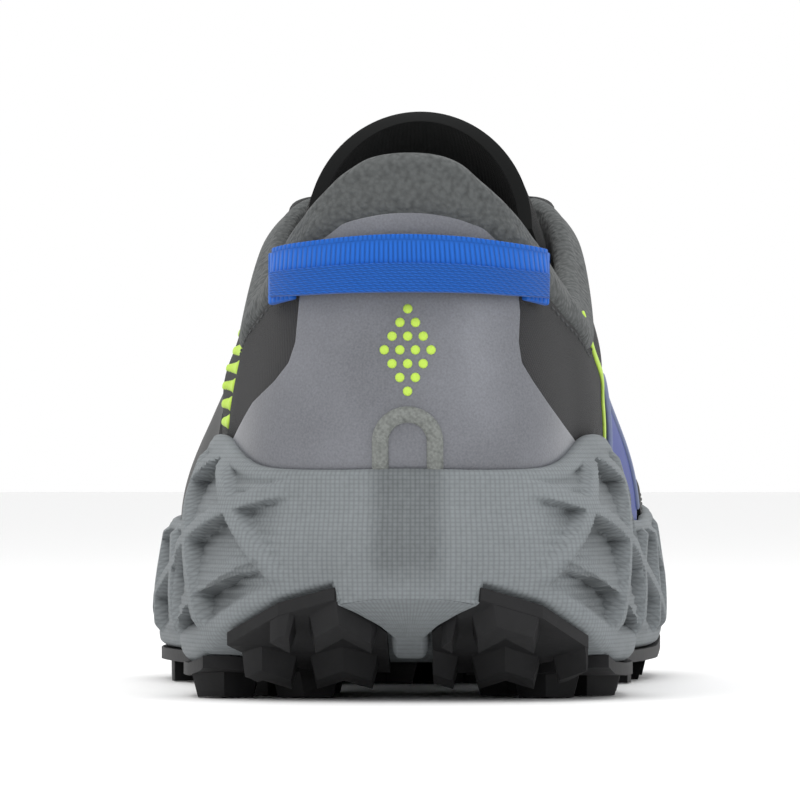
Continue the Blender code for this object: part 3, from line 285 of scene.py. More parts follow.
# Upper: one skin, up the outside, over the edge and down the inside
upper = {
    "columns": 480, "rows": 110, "outerEnd": 0.50, "edgeEnd": 0.54,
    # soft creases: along as a share of the length, how far they bow towards the toe, half width, depth
    "creases": ((0.700, 0.010, 0.0042, 0.0011), (0.742, 0.016, 0.0036, 0.0009),
                (0.782, 0.022, 0.0040, 0.0006)),
    "creaseFoot": 0.040, "creaseFade": 0.012, "creaseSpread": 0.045, "creaseBank": 0.35, "foldLean": 0.25,
    # soft folds of the quarters: side, along, height, half length, half height, depth
    "folds": ((1, 0.105, 0.066, 0.030, 0.0050, 0.0008), (1, 0.140, 0.055, 0.026, 0.0045, -0.0007),
              (-1, 0.085, 0.068, 0.028, 0.0050, 0.0007), (-1, 0.150, 0.057, 0.024, 0.0045, -0.0006)),
}


def upperRelief(spot):
    # how far creases and folds lift or sink the wall
    relief = np.zeros(len(spot))
    x, y, z = spot[:, 0], spot[:, 1], spot[:, 2]
    for along, bow, half, depth in upper["creases"]:
        middle = along * shoe["length"] + bow * (1.0 - (x / upper["creaseSpread"]) ** 2)
        high = softStep((z - upper["creaseFoot"]) / upper["creaseFade"])
        gap = (y - middle) / half
        # a low bank on either side of the crease
        bank = upper["creaseBank"] * np.exp(-((np.abs(gap) - 1.7) ** 2) * 1.5)
        relief += high * depth * (bank - np.exp(-gap**2))
    for side, along, height, halfLength, halfHeight, depth in upper["folds"]:
        lean = height + (y - along) * upper["foldLean"]
        hump = np.exp(-((y - along) / halfLength) ** 2 - ((z - lean) / halfHeight) ** 2)
        relief += depth * hump * (x * side < 0)
    return relief


# Mesh helpers
def newMesh(name, work):
    # mesh from a bmesh, which is then freed
    mesh = bpy.data.meshes.new(name)
    work.to_mesh(mesh)
    work.free()
    return mesh


def faceOutwards(mesh):
    work = bmesh.new()
    work.from_mesh(mesh)
    bmesh.ops.recalc_face_normals(work, faces=work.faces)
    work.to_mesh(mesh)
    work.free()
    return mesh


def addPiece(name, mesh, finish, nodes=(), angle=60.0):
    # piece of the shoe that stands for the given nodes; edges sharper than the angle stay crisp
    piece = bpy.data.objects.new(name, mesh)
    bpy.context.collection.objects.link(piece)
    mesh.materials.clear()
    mesh.materials.append(finishes[finish])
    mesh.shade_smooth()
    mesh.set_sharp_from_angle(angle=math.radians(angle))
    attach(piece, "root")
    if nodes:
        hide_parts(*nodes)
    return piece


def gridMesh(name, uCount, vCount, put, uvSize, weld=0.0, reverse=False, closed=False, paintedShadeDepth=None):
    # a grid whose every point lies where put(u, v) says, with its UV map in metres;
    # the optional depth function gives how far each point lies in a hollow, kept as an attribute for painted
    # shade
    work = bmesh.new()
    bmesh.ops.create_grid(work, x_segments=uCount, y_segments=vCount, size=0.5, calc_uvs=False)
    work.verts.ensure_lookup_table()
    flat = np.array([vert.co[:2] for vert in work.verts]) + 0.5
    spots = put(flat[:, 0], flat[:, 1]) + placeShift
    layer = work.loops.layers.uv.new("UVMap")
    work.verts.index_update()
    sized = flat * np.array(uvSize)
    for face in work.faces:
        for loop in face.loops:
            loop[layer].uv = sized[loop.vert.index]
    for vert, spot in zip(work.verts, spots):
        vert.co = spot
    if paintedShadeDepth:
        shadeDepths = work.verts.layers.float.new("paintedShadeDepth")
        for vert, depth in zip(work.verts, paintedShadeDepth(flat[:, 0], flat[:, 1])):
            vert[shadeDepths] = depth
    if weld:
        bmesh.ops.remove_doubles(work, verts=work.verts, dist=weld)
        bmesh.ops.dissolve_degenerate(work, edges=work.edges, dist=weld / 2)
    if closed:
        rims = [edge for edge in work.edges if edge.is_boundary]
        if rims:
            bmesh.ops.bridge_loops(work, edges=rims)
        bmesh.ops.recalc_face_normals(work, faces=work.faces)
    elif reverse:
        bmesh.ops.reverse_faces(work, faces=work.faces)
    return newMesh(name, work)


def softenEdges(piece, width, segments, angle):
    soft = piece.modifiers.new("edge", "BEVEL")
    soft.width = width
    soft.segments = segments
    soft.limit_method = "ANGLE"
    soft.angle_limit = math.radians(angle)


def thicken(piece, wall, bevel=0.0003):
    # wall inwards from the modelled face, with softened edges
    solid = piece.modifiers.new("wall", "SOLIDIFY")
    solid.thickness = wall
    solid.offset = -1.0
    softenEdges(piece, bevel, 3, 50)


def evenPath(points, pitch):
    # the same path in even steps, and its direction at each
    points = np.asarray(points, float)
    way = np.concatenate(([0.0], np.cumsum(np.linalg.norm(np.diff(points, axis=0), axis=1))))
    count = max(int(round(way[-1] / pitch)), 2)
    at = np.linspace(0.0, way[-1], count + 1)
    even = np.stack([np.interp(at, way, points[:, k]) for k in range(3)], axis=-1)
    return even, unit(np.gradient(even, axis=0))


def curvePath(points, perSpan):
    # smooth path through a few points
    points = np.asarray(points, float)
    padded = np.vstack((2 * points[0] - points[1], points, 2 * points[-1] - points[-2]))
    out = []
    for i in range(1, len(padded) - 2):
        p0, p1, p2, p3 = padded[i - 1:i + 3]
        for t in np.arange(perSpan) / perSpan:
            out.append(0.5 * (2 * p1 + (p2 - p0) * t + (2 * p0 - 5 * p1 + 4 * p2 - p3) * t**2
                              + (3 * p1 - p0 - 3 * p2 + p3) * t**3))
    out.append(points[-1])
    return np.array(out)


def bandMesh(name, path, sides, width, height, steps, around=12, flat=0.7):
    # rounded flat band swept along a path; sides gives the direction across it
    path, sides = np.asarray(path), unit(np.asarray(sides))
    way = np.concatenate(([0.0], np.cumsum(np.linalg.norm(np.diff(path, axis=0), axis=1))))
    runs = unit(np.gradient(path, axis=0))
    widths = np.broadcast_to(np.asarray(width, float), way.shape)

    def put(u, v):
        at = u * way[-1]
        spot, side, run = (np.stack([np.interp(at, way, values[:, k]) for k in range(3)], axis=-1)
                           for values in (path, sides, runs))
        side, run = unit(side), unit(run)
        up = unit(np.cross(run, side))
        side = np.cross(up, run)
        turn = v * 2 * math.pi
        wide = np.sign(np.cos(turn)) * np.abs(np.cos(turn)) ** flat * np.interp(at, way, widths) / 2
        tall = np.sign(np.sin(turn)) * np.abs(np.sin(turn)) ** flat * height / 2
        near = np.minimum(at, way[-1] - at) / height
        cap = np.sqrt(1.0 - (1.0 - np.clip(near, 0, 1)) ** 2)
        return spot + side * (wide * cap)[:, None] + up * (tall * cap)[:, None]

    return faceOutwards(gridMesh(name, steps, around, put, (way[-1], np.max(widths) * 2), 0.00001))


def addDot(work, around, rise, out, size):
    # low round dot on the wall
    normal = wallNormal(around, rise)
    spot = wallPoint(around, rise) + normal * out + placeShift
    turn = Vector(normal).to_track_quat("Z", "Y").to_matrix().to_4x4()
    bmesh.ops.create_icosphere(work, subdivisions=2, radius=size, matrix=Matrix.Translation(
        Vector(spot)) @ turn @ Matrix.Diagonal((1.0, 1.0, 0.42, 1.0)))


def stitchMesh(name, spots, runs, length, thickness):
    # short rounded stitches, one at each spot
    work = bmesh.new()
    for spot, run in zip(spots, runs):
        turn = Vector(run).to_track_quat("X", "Z").to_matrix().to_4x4()
        size = Matrix.Diagonal((length / 2, thickness / 2, thickness / 2, 1.0))
        bmesh.ops.create_icosphere(work, subdivisions=1, radius=1.0,
                                   matrix=Matrix.Translation(Vector(spot + placeShift)) @ turn @ size)
    return newMesh(name, work)


# Shader groups
def nodeGroup(name, inputs, outputs):
    group = bpy.data.node_groups.new(name, "ShaderNodeTree")
    for label, kind, value in inputs:
        socket = group.interface.new_socket(label, in_out="INPUT", socket_type=kind)
        if value is not None:
            socket.default_value = value
    for label, kind in outputs:
        group.interface.new_socket(label, in_out="OUTPUT", socket_type=kind)
    return group, group.nodes.new("NodeGroupInput"), group.nodes.new("NodeGroupOutput")


def mathNode(tree, operation, first, second=None, third=None):
    node = tree.nodes.new("ShaderNodeMath")
    node.operation = operation
    for index, value in enumerate((first, second, third)):
        if value is None:
            continue
        if isinstance(value, (int, float)):
            node.inputs[index].default_value = value
        else:
            tree.links.new(value, node.inputs[index])
    return node.outputs[0]


def weaveGroup():
    # ribs across and along the cloth; Twill leans them over
    group, source, sink = nodeGroup(
        "clothWeave",
        [("Vector", "NodeSocketVector", None), ("Across", "NodeSocketFloat", 1000.0),
         ("Along", "NodeSocketFloat", 1000.0), ("Twill", "NodeSocketFloat", 0.0),
         ("Shift", "NodeSocketFloat", 0.5)],
        [("Height", "NodeSocketFloat"), ("Shade", "NodeSocketFloat")])
    split = group.nodes.new("ShaderNodeSeparateXYZ")
    group.links.new(source.outputs["Vector"], split.inputs[0])
    x = mathNode(group, "MULTIPLY", split.outputs["X"], source.outputs["Across"])
    y = mathNode(group, "MULTIPLY", split.outputs["Y"], source.outputs["Along"])
    lean = mathNode(group, "MULTIPLY", y, source.outputs["Twill"])
    row = mathNode(group, "MULTIPLY", mathNode(group, "FLOOR", y), source.outputs["Shift"])
    phase = mathNode(group, "ADD", mathNode(group, "ADD", x, lean), row)
    warp = mathNode(group, "ABSOLUTE", mathNode(group, "SINE", mathNode(group, "MULTIPLY", phase, math.pi)))
    weft = mathNode(group, "ABSOLUTE", mathNode(group, "SINE", mathNode(group, "MULTIPLY", y, math.pi)))
    height = mathNode(group, "MULTIPLY", mathNode(group, "POWER", warp, 0.6),
                      mathNode(group, "POWER", weft, 0.5))
    group.links.new(height, sink.inputs["Height"])
    group.links.new(mathNode(group, "MULTIPLY_ADD", height, 0.6, 0.55), sink.inputs["Shade"])
    return group


def grainGroup():
    # two sizes of grain
    group, source, sink = nodeGroup(
        "surfaceGrain",
        [("Vector", "NodeSocketVector", None), ("Scale", "NodeSocketFloat", 800.0),
         ("Broad", "NodeSocketFloat", 60.0)],
        [("Height", "NodeSocketFloat"), ("Tone", "NodeSocketFloat")])
    fine = group.nodes.new("ShaderNodeTexNoise")
    fine.inputs["Detail"].default_value = 3.0
    broad = group.nodes.new("ShaderNodeTexNoise")
    broad.inputs["Detail"].default_value = 2.0
    for node, scale in ((fine, "Scale"), (broad, "Broad")):
        group.links.new(source.outputs["Vector"], node.inputs["Vector"])
        group.links.new(source.outputs[scale], node.inputs["Scale"])
    tone = mathNode(group, "MULTIPLY_ADD", fine.outputs["Fac"], 0.5,
                    mathNode(group, "MULTIPLY", broad.outputs["Fac"], 0.5))
    group.links.new(fine.outputs["Fac"], sink.inputs["Height"])
    group.links.new(tone, sink.inputs["Tone"])
    return group


def loopGroup():
    # small looped pile, as on crepe cloth and knitted trim
    group, source, sink = nodeGroup(
        "loopedPile",
        [("Vector", "NodeSocketVector", None), ("Scale", "NodeSocketFloat", 700.0)],
        [("Height", "NodeSocketFloat"), ("Shade", "NodeSocketFloat")])
    warp = group.nodes.new("ShaderNodeTexNoise")
    warp.inputs["Detail"].default_value = 2.0
    group.links.new(source.outputs["Vector"], warp.inputs["Vector"])
    group.links.new(source.outputs["Scale"], warp.inputs["Scale"])
    cells = group.nodes.new("ShaderNodeTexVoronoi")
    cells.feature = "SMOOTH_F1"
    cells.inputs["Smoothness"].default_value = 0.6
    group.links.new(source.outputs["Vector"], cells.inputs["Vector"])
    group.links.new(source.outputs["Scale"], cells.inputs["Scale"])
    domes = mathNode(group, "SUBTRACT", 1.0, cells.outputs["Distance"])
    height = mathNode(group, "MULTIPLY_ADD", warp.outputs["Fac"], 0.7,
                      mathNode(group, "MULTIPLY", domes, 0.6))
    group.links.new(height, sink.inputs["Height"])
    group.links.new(mathNode(group, "MULTIPLY_ADD", height, 1.1, 0.1), sink.inputs["Shade"])
    return group


groups = {"weave": weaveGroup(), "grain": grainGroup(), "pile": loopGroup()}


def makeMaterial(name, colour, rough, sheen=0.0, coat=0.0, metallic=0.0, gloss=0.25):
    material = bpy.data.materials.new(name)
    material.use_nodes = True
    shader = material.node_tree.nodes["Principled BSDF"]
    shader.inputs["Base Color"].default_value = (*colour, 1.0)
    shader.inputs["Roughness"].default_value = rough
    shader.inputs["Metallic"].default_value = metallic
    shader.inputs["Specular IOR Level"].default_value = gloss
    shader.inputs["Sheen Weight"].default_value = sheen
    shader.inputs["Sheen Roughness"].default_value = 0.4
    shader.inputs["Coat Weight"].default_value = coat
    return material, material.node_tree, shader


def coordinates(tree, kind):
    return tree.nodes.new("ShaderNodeTexCoord").outputs[kind]


def splitVector(tree, vector):
    split = tree.nodes.new("ShaderNodeSeparateXYZ")
    tree.links.new(vector, split.inputs[0])
    return split.outputs


def fade(tree, value, start, end, low=0.0, high=1.0):
    # low up to the start, high from the end on
    node = tree.nodes.new("ShaderNodeMapRange")
    for label, number in (("From Min", start), ("From Max", end), ("To Min", low), ("To Max", high)):
        node.inputs[label].default_value = number
    tree.links.new(value, node.inputs["Value"])
    return node.outputs["Result"]


def useGroup(tree, group, vector, **values):
    node = tree.nodes.new("ShaderNodeGroup")
    node.node_tree = groups[group]
    tree.links.new(vector, node.inputs["Vector"])
    for label, value in values.items():
        node.inputs[label].default_value = value
    return node


def shadeColour(tree, shader, colour, factor, low, high):
    # base colour from dark to light by a factor between 0 and 1
    mix = tree.nodes.new("ShaderNodeMix")
    mix.data_type = "RGBA"
    mix.inputs["A"].default_value = (*[c * low for c in colour], 1.0)
    mix.inputs["B"].default_value = (*[min(c * high, 1.0) for c in colour], 1.0)
    tree.links.new(factor, mix.inputs["Factor"])
    tree.links.new(mix.outputs["Result"], shader.inputs["Base Color"])


def addBump(tree, shader, height, distance, strength):
    bump = tree.nodes.new("ShaderNodeBump")
    bump.inputs["Distance"].default_value = distance
    bump.inputs["Strength"].default_value = strength
    tree.links.new(height, bump.inputs["Height"])
    tree.links.new(bump.outputs["Normal"], shader.inputs["Normal"])


foam = {
    "colour": (0.176, 0.192, 0.200), "rough": 0.72, "gridPerMetre": 1150.0, "bump": 0.00014,
    # upright band of the heel, painted shade standing in for a shallow channel that is not modelled: half
    # width, soft edge, how far it reaches forward, where it fades in, how dark
    "half": 0.0052, "soft": 0.0034, "reach": 0.030, "low": 0.022, "full": 0.029, "channelShadeAmount": 0.34,
    # how dark the painted shade in the side's windows is
    "hollowShade": 0.62,
}


def foamFinish():
    # moulded foam with a fine grid, with painted shade darkening its hollows and an upright band at the heel
    material, tree, shader = makeMaterial("foamGrey", foam["colour"], foam["rough"])
    vector = coordinates(tree, "Object")
    spot = splitVector(tree, vector)
    grid = tree.nodes.new("ShaderNodeCombineXYZ")
    tree.links.new(splitVector(tree, coordinates(tree, "UV"))["X"], grid.inputs["X"])
    tree.links.new(spot["Z"], grid.inputs["Y"])
    pitch = foam["gridPerMetre"]
    cloth = useGroup(tree, "weave", grid.outputs["Vector"], Across=pitch, Along=pitch, Twill=0.0, Shift=0.0)
    grain = useGroup(tree, "grain", vector, Scale=900.0, Broad=40.0)
    tone = mathNode(tree, "MULTIPLY_ADD", cloth.outputs["Height"], 0.35,
                    mathNode(tree, "MULTIPLY", grain.outputs["Tone"], 0.65))
    # painted shade: an upright band down the middle of the heel, darker than the foam around it, standing in
    # for the shade of a shallow channel
    away = mathNode(tree, "ABSOLUTE", mathNode(tree, "SUBTRACT", spot["X"], float(placeShift[0])))
    across = fade(tree, away, foam["half"], foam["half"] + foam["soft"], foam["channelShadeAmount"], 0.0)
    behind = mathNode(tree, "LESS_THAN", spot["Y"], float(placeShift[1]) + foam["reach"])
    upward = fade(tree, spot["Z"], foam["low"], foam["full"])
    channelShade = mathNode(tree, "MULTIPLY", mathNode(tree, "MULTIPLY", across, behind), upward)
    # painted shade: the deeper a point lies in a window of the side, the darker the foam
    hollowShadeNode = tree.nodes.new("ShaderNodeAttribute")
    hollowShadeNode.attribute_name = "paintedShadeDepth"
    shade = mathNode(tree, "MULTIPLY", hollowShadeNode.outputs["Fac"], foam["hollowShade"])
    toned = mathNode(tree, "SUBTRACT", mathNode(tree, "SUBTRACT", tone, channelShade), shade)
    shadeColour(tree, shader, foam["colour"], toned, 0.55, 1.42)
    addBump(tree, shader, cloth.outputs["Height"], foam["bump"], 0.5)
    return material


def pileFinish(name, colour, scale, depth):
    material, tree, shader = makeMaterial(name, colour, 0.92, sheen=0.08, gloss=0.15)
    pile = useGroup(tree, "pile", coordinates(tree, "Object"), Scale=scale)
    shadeColour(tree, shader, colour, pile.outputs["Shade"], 0.4, 1.4)
    addBump(tree, shader, pile.outputs["Height"], depth, 0.9)
    return material


def clothFinish(name, colour, across, along, twill, depth, rough=0.88, low=0.6, sheen=0.04):
    material, tree, shader = makeMaterial(name, colour, rough, sheen=sheen, gloss=0.15)
    cloth = useGroup(tree, "weave", coordinates(tree, "UV"), Across=across, Along=along, Twill=twill)
    shadeColour(tree, shader, colour, cloth.outputs["Shade"], low, 1.3)
    addBump(tree, shader, cloth.outputs["Height"], depth, 0.8)
    return material


def grainFinish(name, colour, rough, scale, depth, low=0.85, high=1.15, coat=0.0, metallic=0.0, gloss=0.25):
    material, tree, shader = makeMaterial(name, colour, rough, coat=coat, metallic=metallic, gloss=gloss)
    grain = useGroup(tree, "grain", coordinates(tree, "Object"), Scale=scale, Broad=45.0)
    shadeColour(tree, shader, colour, grain.outputs["Tone"], low, high)
    addBump(tree, shader, grain.outputs["Height"], depth, 0.6)
    return material


# Name and colour, then a grain's roughness, scale, depth, low and high, a cloth's ribs across and along,
# twill, depth and roughness, or a pile's scale and depth
finishes = {
    "foam": foamFinish(),
    "rubber": grainFinish("rubberBlack", (0.0085, 0.0085, 0.0092), 0.62, 500.0, 0.00012, 0.7, 1.6),
    "mesh": clothFinish("quarterMesh", (0.040, 0.040, 0.041), 1100.0, 1500.0, 0.35, 0.00025),
    "crepe": pileFinish("crepeGrey", (0.070, 0.074, 0.074), 900.0, 0.0006),
    "trim": pileFinish("trimKnit", (0.150, 0.158, 0.150), 1500.0, 0.0005),
    "speckle": grainFinish("counterSilver", (0.150, 0.155, 0.172), 0.38, 2300.0, 0.00008, 0.35, 1.70,
                           coat=0.08, metallic=0.30, gloss=0.4),
    "webbing": clothFinish("webbingBlue", (0.012, 0.094, 0.405), 1150.0, 160.0, 0.0, 0.0006, 0.75,
                           low=0.5, sheen=0.1),
    "twill": clothFinish("webbingTwill", (0.012, 0.090, 0.385), 800.0, 1500.0, 0.9, 0.0006, 0.75,
                         low=0.5, sheen=0.1),
    "deepBlue": grainFinish("panelBlue", (0.011, 0.032, 0.215), 0.5, 1500.0, 0.00008),
    "black": grainFinish("smoothBlack", (0.0075, 0.008, 0.008), 0.5, 1400.0, 0.00008, 0.75, 1.4),
    "tongue": clothFinish("tongueBlack", (0.0055, 0.006, 0.006), 1500.0, 1500.0, 0.5, 0.0001, 0.75),
    "lime": grainFinish("limePrint", (0.46, 0.66, 0.085), 0.5, 900.0, 0.00005),
    "footBed": pileFinish("footBedGrey", (0.045, 0.047, 0.050), 1200.0, 0.0003),
    "lace": clothFinish("laceCharcoal", (0.026, 0.027, 0.028), 1400.0, 1400.0, 0.6, 0.0003),
    "eyelet": grainFinish("eyeletBlack", (0.012, 0.012, 0.013), 0.32, 900.0, 0.00003, 0.8, 1.3,
                          coat=0.2, gloss=0.5),
    # painted shadow for the inside of the eyelet holes
    "holeShadow": grainFinish("holeShadowBlack", (0.002, 0.002, 0.002), 0.9, 900.0, 0.00003),
    "piping": grainFinish("pipingGrey", (0.15, 0.18, 0.29), 0.5, 1200.0, 0.0001),
    "thread": clothFinish("threadGrey", (0.075, 0.078, 0.080), 3000.0, 3000.0, 0.5, 0.0001),
}
print("finishes ready")


# Midsole: one skin from the middle of its underside over the side and lip to the middle of the foot bed
midsole = {
    "columns": 1000, "under": 8, "side": 66, "lip": 6, "inner": 3, "bed": 5,
    # side levels: height from the rubber to the lip, reach as a share of the flange
    "levels": (0.00, 0.18, 0.42, 0.72), "reach": (0.90, 1.00, 0.98, 0.80), "footShare": 0.15,
    "edgeRound": 0.0014, "edgeShare": 0.055, "lipArch": 0.0008, "lipShare": 0.97, "lipRound": 0.0004,
}
lattice = {
    # crossing ribs of the side: the leaning ones and the long ones that fall towards the toe
    "leanFirst": 0.0500, "leanPitch": 0.0270, "sweepFirst": 0.0430, "sweepPitch": 0.0155, "sweepFall": 0.30,
    "start": 0.0240, "end": 0.2450, "width": 0.0036, "top": 0.0026, "flank": 0.0008, "proud": 0.0012,
    "windowDepth": 0.0037, "windowCurve": 1.3, "windowFade": 0.018,
    "ridgePitch": 0.0021, "ridgeDepth": 0.00024,
    # shares of the side's height where the ribs rise from the foot and end under the lip
    "footStart": 0.10, "footFade": 0.09, "lipEnd": 0.965, "lipFade": 0.05,
}
finger = {
    # foam finger between the rear lobes: half width in metres, place along
    "half": (0.0184, 0.0160, 0.0124, 0.0070, 0.0040, 0.0040, 0.0022),
    "along": (-0.0100, 0.0024, 0.0057, 0.0108, 0.0150, 0.0220, 0.0238),
    "proud": 0.0012, "round": 0.0016, "back": 0.0030, "flank": 0.0012, "rimUp": 0.15,
}


def fingerDepth():
    return shoe["gap"] + shoe["rubber"] + finger["proud"]


def smoothLevels(levels, values, at):
    # smooth curve through a few levels
    levels = np.array(levels)
    stack = np.stack(values)
    slope = np.gradient(stack, levels, axis=0)
    low = np.clip(np.searchsorted(levels, at, side="right") - 1, 0, len(levels) - 2)
    width = levels[low + 1] - levels[low]
    columns = np.arange(stack.shape[1])
    return smoothRun(stack[low, columns], stack[low + 1, columns], slope[low, columns],
                     slope[low + 1, columns], width, (at - levels[low]) / width)


def latticeRelief(around, z, height):
    # outward relief of the side's ribs and of the sunken windows between them
    way = np.minimum(np.mod(around, 1.0), 1.0 - np.mod(around, 1.0)) * girth
    fall = z - shoe["lipHeight"]
    bend = fall + 4 * lattice["width"]
    curve = fall + bend ** 2 / shoe["lipHeight"] / 2
    lean = (way - lattice["leanFirst"] - curve) / lattice["leanPitch"]
    leanTilt = np.hypot(1.0, 1.0 + bend / shoe["lipHeight"])
    leanGap = np.abs(lean - np.maximum(np.round(lean), 0)) * lattice["leanPitch"] / leanTilt
    past = way - lattice["start"]
    sweep = (z - lattice["sweepFirst"] + past * lattice["sweepFall"]) / lattice["sweepPitch"]
    sweepTilt = math.hypot(1.0, lattice["sweepFall"])
    sweepGap = np.abs(sweep - np.maximum(np.round(sweep), 0)) * lattice["sweepPitch"] / sweepTilt
    edge = lattice["top"] / 2 + lattice["flank"] / 2
    rib = softStep((edge - np.minimum(leanGap, sweepGap)) / lattice["flank"] + 0.5)
    inside = softStep((past + 0.004) / 0.006) * softStep((lattice["end"] + 0.02 - way) / 0.03)
    inside = inside * softStep((height - lattice["footStart"]) / lattice["footFade"])
    inside = inside * softStep((lattice["lipEnd"] - height) / lattice["lipFade"])
    depth = lattice["windowDepth"] * np.mod(sweep, 1.0) ** lattice["windowCurve"]
    depth = depth * softStep(past / lattice["windowFade"] + 0.25)
    ridges = lattice["ridgeDepth"] * np.sin(z / lattice["ridgePitch"] * 2 * math.pi)
    return inside * (lattice["proud"] * rib - (depth + ridges) * (1.0 - rib))


def midsoleRecessShade(u, v):
    # 0 on the ribs and the plain side, 1 at the deepest of a window; the foam paints shade into the windows
    # by it
    ends = midsoleEnds()
    height = np.clip((v - ends[0]) / (ends[1] - ends[0]), 0.0, 1.0)
    plainZ = soleBottom(ring("footY", u))
    relief = latticeRelief(u, plainZ + (ring("lip", u) - plainZ) * height, height)
    return np.clip(-relief / lattice["windowDepth"], 0.0, 1.0) * ((v > ends[0]) & (v < ends[1]))


def midsoleEnds():
    # where the underside, side, lip and inner wall end, as shares of the skin
    counts = [midsole[part] for part in ("under", "side", "lip", "inner", "bed")]
    return (np.cumsum(counts) / sum(counts))[:4]


def fingerMask(x, y):
    # 1 where the side stands on the finger
    half = np.interp(y, finger["along"], finger["half"], right=0.0)
    return softStep((half - np.abs(x)) / finger["flank"] + 0.5) * (y < finger["along"][-1])


def midsolePlace(u, v):
    # side, from the rubber up to the lip
    underEnd, sideEnd, lipEnd, innerEnd = midsoleEnds()
    height = np.clip((v - underEnd) / (sideEnd - underEnd), 0.0, 1.0)
    outX, outY = planOutward(u)
    footX, footY = ring("footX", u), ring("footY", u)
    flange, lip = ring("flange", u), ring("lip", u)
    lipIn = wallSurface(u, lipRise(u), shoe["seatGap"])
    lipReach = (lipIn[:, 0] - footX) * outX + (lipIn[:, 1] - footY) * outY + shoe["lipWall"]
    reaches = [flange * share for share in midsole["reach"]] + [lipReach]
    edgeX, edgeY = footX + outX * reaches[0], footY + outY * reaches[0]
    plainZ = soleBottom(edgeY)
    onFinger = fingerMask(edgeX, edgeY)
    baseZ = plainZ - fingerDepth() * onFinger
    reach = smoothLevels(list(midsole["levels"]) + [1.0], reaches, height)
    foot = midsole["footShare"]
    z = np.where(height > foot, plainZ + (lip - plainZ) * height,
                 baseZ + (lip - plainZ) * height + (plainZ - baseZ) * height / foot)
    low = np.clip(1.0 - height / midsole["edgeShare"], 0.0, 1.0)
    high = np.clip((height - midsole["lipShare"]) / (1.0 - midsole["lipShare"]), 0.0, 1.0)
    rounding = midsole["edgeRound"] * low**2 * (1.0 - 0.8 * onFinger)
    reach = reach + latticeRelief(u, z, height) - rounding - midsole["lipRound"] * high**2
    x, y = footX + outX * reach, footY + outY * reach
    # over the lip and down its inner wall
    over = np.clip((v - sideEnd) / (lipEnd - sideEnd), 0.0, 1.0)
    swing = 0.5 - 0.5 * np.cos(over * math.pi)
    down = np.clip((v - lipEnd) / (innerEnd - lipEnd), 0.0, 1.0)
    bedEdge = wallSurface(u, 0.0, shoe["seatGap"])
    past = v > sideEnd
    x = np.where(past, x + (lipIn[:, 0] - x) * swing + (bedEdge[:, 0] - lipIn[:, 0]) * down, x)
    y = np.where(past, y + (lipIn[:, 1] - y) * swing + (bedEdge[:, 1] - lipIn[:, 1]) * down, y)
    z = np.where(past, lip + np.sin(over * math.pi) * midsole["lipArch"] + (footBed(footY) - lip) * down, z)
    # foot bed to its middle line
    rest = np.clip((v - innerEnd) / (1.0 - innerEnd), 0.0, 1.0)
    mate = wallSurface(1.0 - u, 0.0, shoe["seatGap"])
    bed = v > innerEnd
    x = np.where(bed, bedEdge[:, 0] + (mate[:, 0] - bedEdge[:, 0]) / 2 * rest, x)
    y = np.where(bed, bedEdge[:, 1] + (mate[:, 1] - bedEdge[:, 1]) / 2 * rest, y)
    z = np.where(bed, footBed(y), z)
    # underside from its middle line out to the side
    share = np.clip(v / underEnd, 0.0, 1.0)
    mateOutX, mateOutY = planOutward(1.0 - u)
    mateReach = ring("flange", 1.0 - u) * midsole["reach"][0] - midsole["edgeRound"]
    mateX = ring("footX", 1.0 - u) + mateOutX * mateReach
    mateY = ring("footY", 1.0 - u) + mateOutY * mateReach
    rimX, rimY = edgeX - outX * midsole["edgeRound"], edgeY - outY * midsole["edgeRound"]
    under = v < underEnd
    x = np.where(under, (rimX + mateX) / 2 + (rimX - mateX) / 2 * share, x)
    y = np.where(under, (rimY + mateY) / 2 + (rimY - mateY) / 2 * share, y)
    z = np.where(under, soleBottom(y), z)
    return np.stack([x, y, z], axis=-1)


def fingerPlace(u, v):
    # pillow from the heel's back forward, its rim turned up into the foam
    last = finger["along"][-1]
    half = np.interp(finger["back"] + (last - finger["back"]) * v, finger["along"], finger["half"])
    across = u * 2.0 - 1.0
    x = across * half
    # the back follows the sole's rear edge
    around = -x / 0.72
    _, backY = planOutward(around)
    back = ring("footY", around) + backY * ring("flange", around) * midsole["reach"][0] + 0.0002
    y = back + (last - back) * v
    side = (1.0 - np.abs(across)) * half / finger["round"]
    front = (last - y) / finger["round"]
    near = np.clip(np.minimum(side, front), 0.0, 1.0)
    drop = fingerDepth() * (np.sqrt(1.0 - (1.0 - near) ** 2) * (1.0 + finger["rimUp"]) - finger["rimUp"])
    return np.stack([x, y, soleBottom(y) - drop], axis=-1)


def makeMidsole():
    rows = sum(midsole[part] for part in ("under", "side", "lip", "inner", "bed"))
    mesh = gridMesh("midsoleFoam", midsole["columns"], rows, midsolePlace, (girth, 0.090), 0.00002,
                    paintedShadeDepth=midsoleRecessShade)
    addPiece("midsoleFoam", faceOutwards(mesh), "foam", ["midsole"])
    mesh = gridMesh("heelFinger", 44, 70, fingerPlace, (0.03, 0.03), 0.00001, True)
    thicken(addPiece("heelFinger", mesh, "foam", angle=80.0), 0.0012, 0.0002)


makeMidsole()
print("midsole made")


# Outsole: copies of the rubber solids with their edges softened
outsole = {"pieces": ("forefoot", "heel_inner", "heel_outer", "lobe_inner", "lobe_outer"),
           "weld": 0.00002, "flatAngle": 2.0, "edge": 0.00045, "edgeAngle": 28}


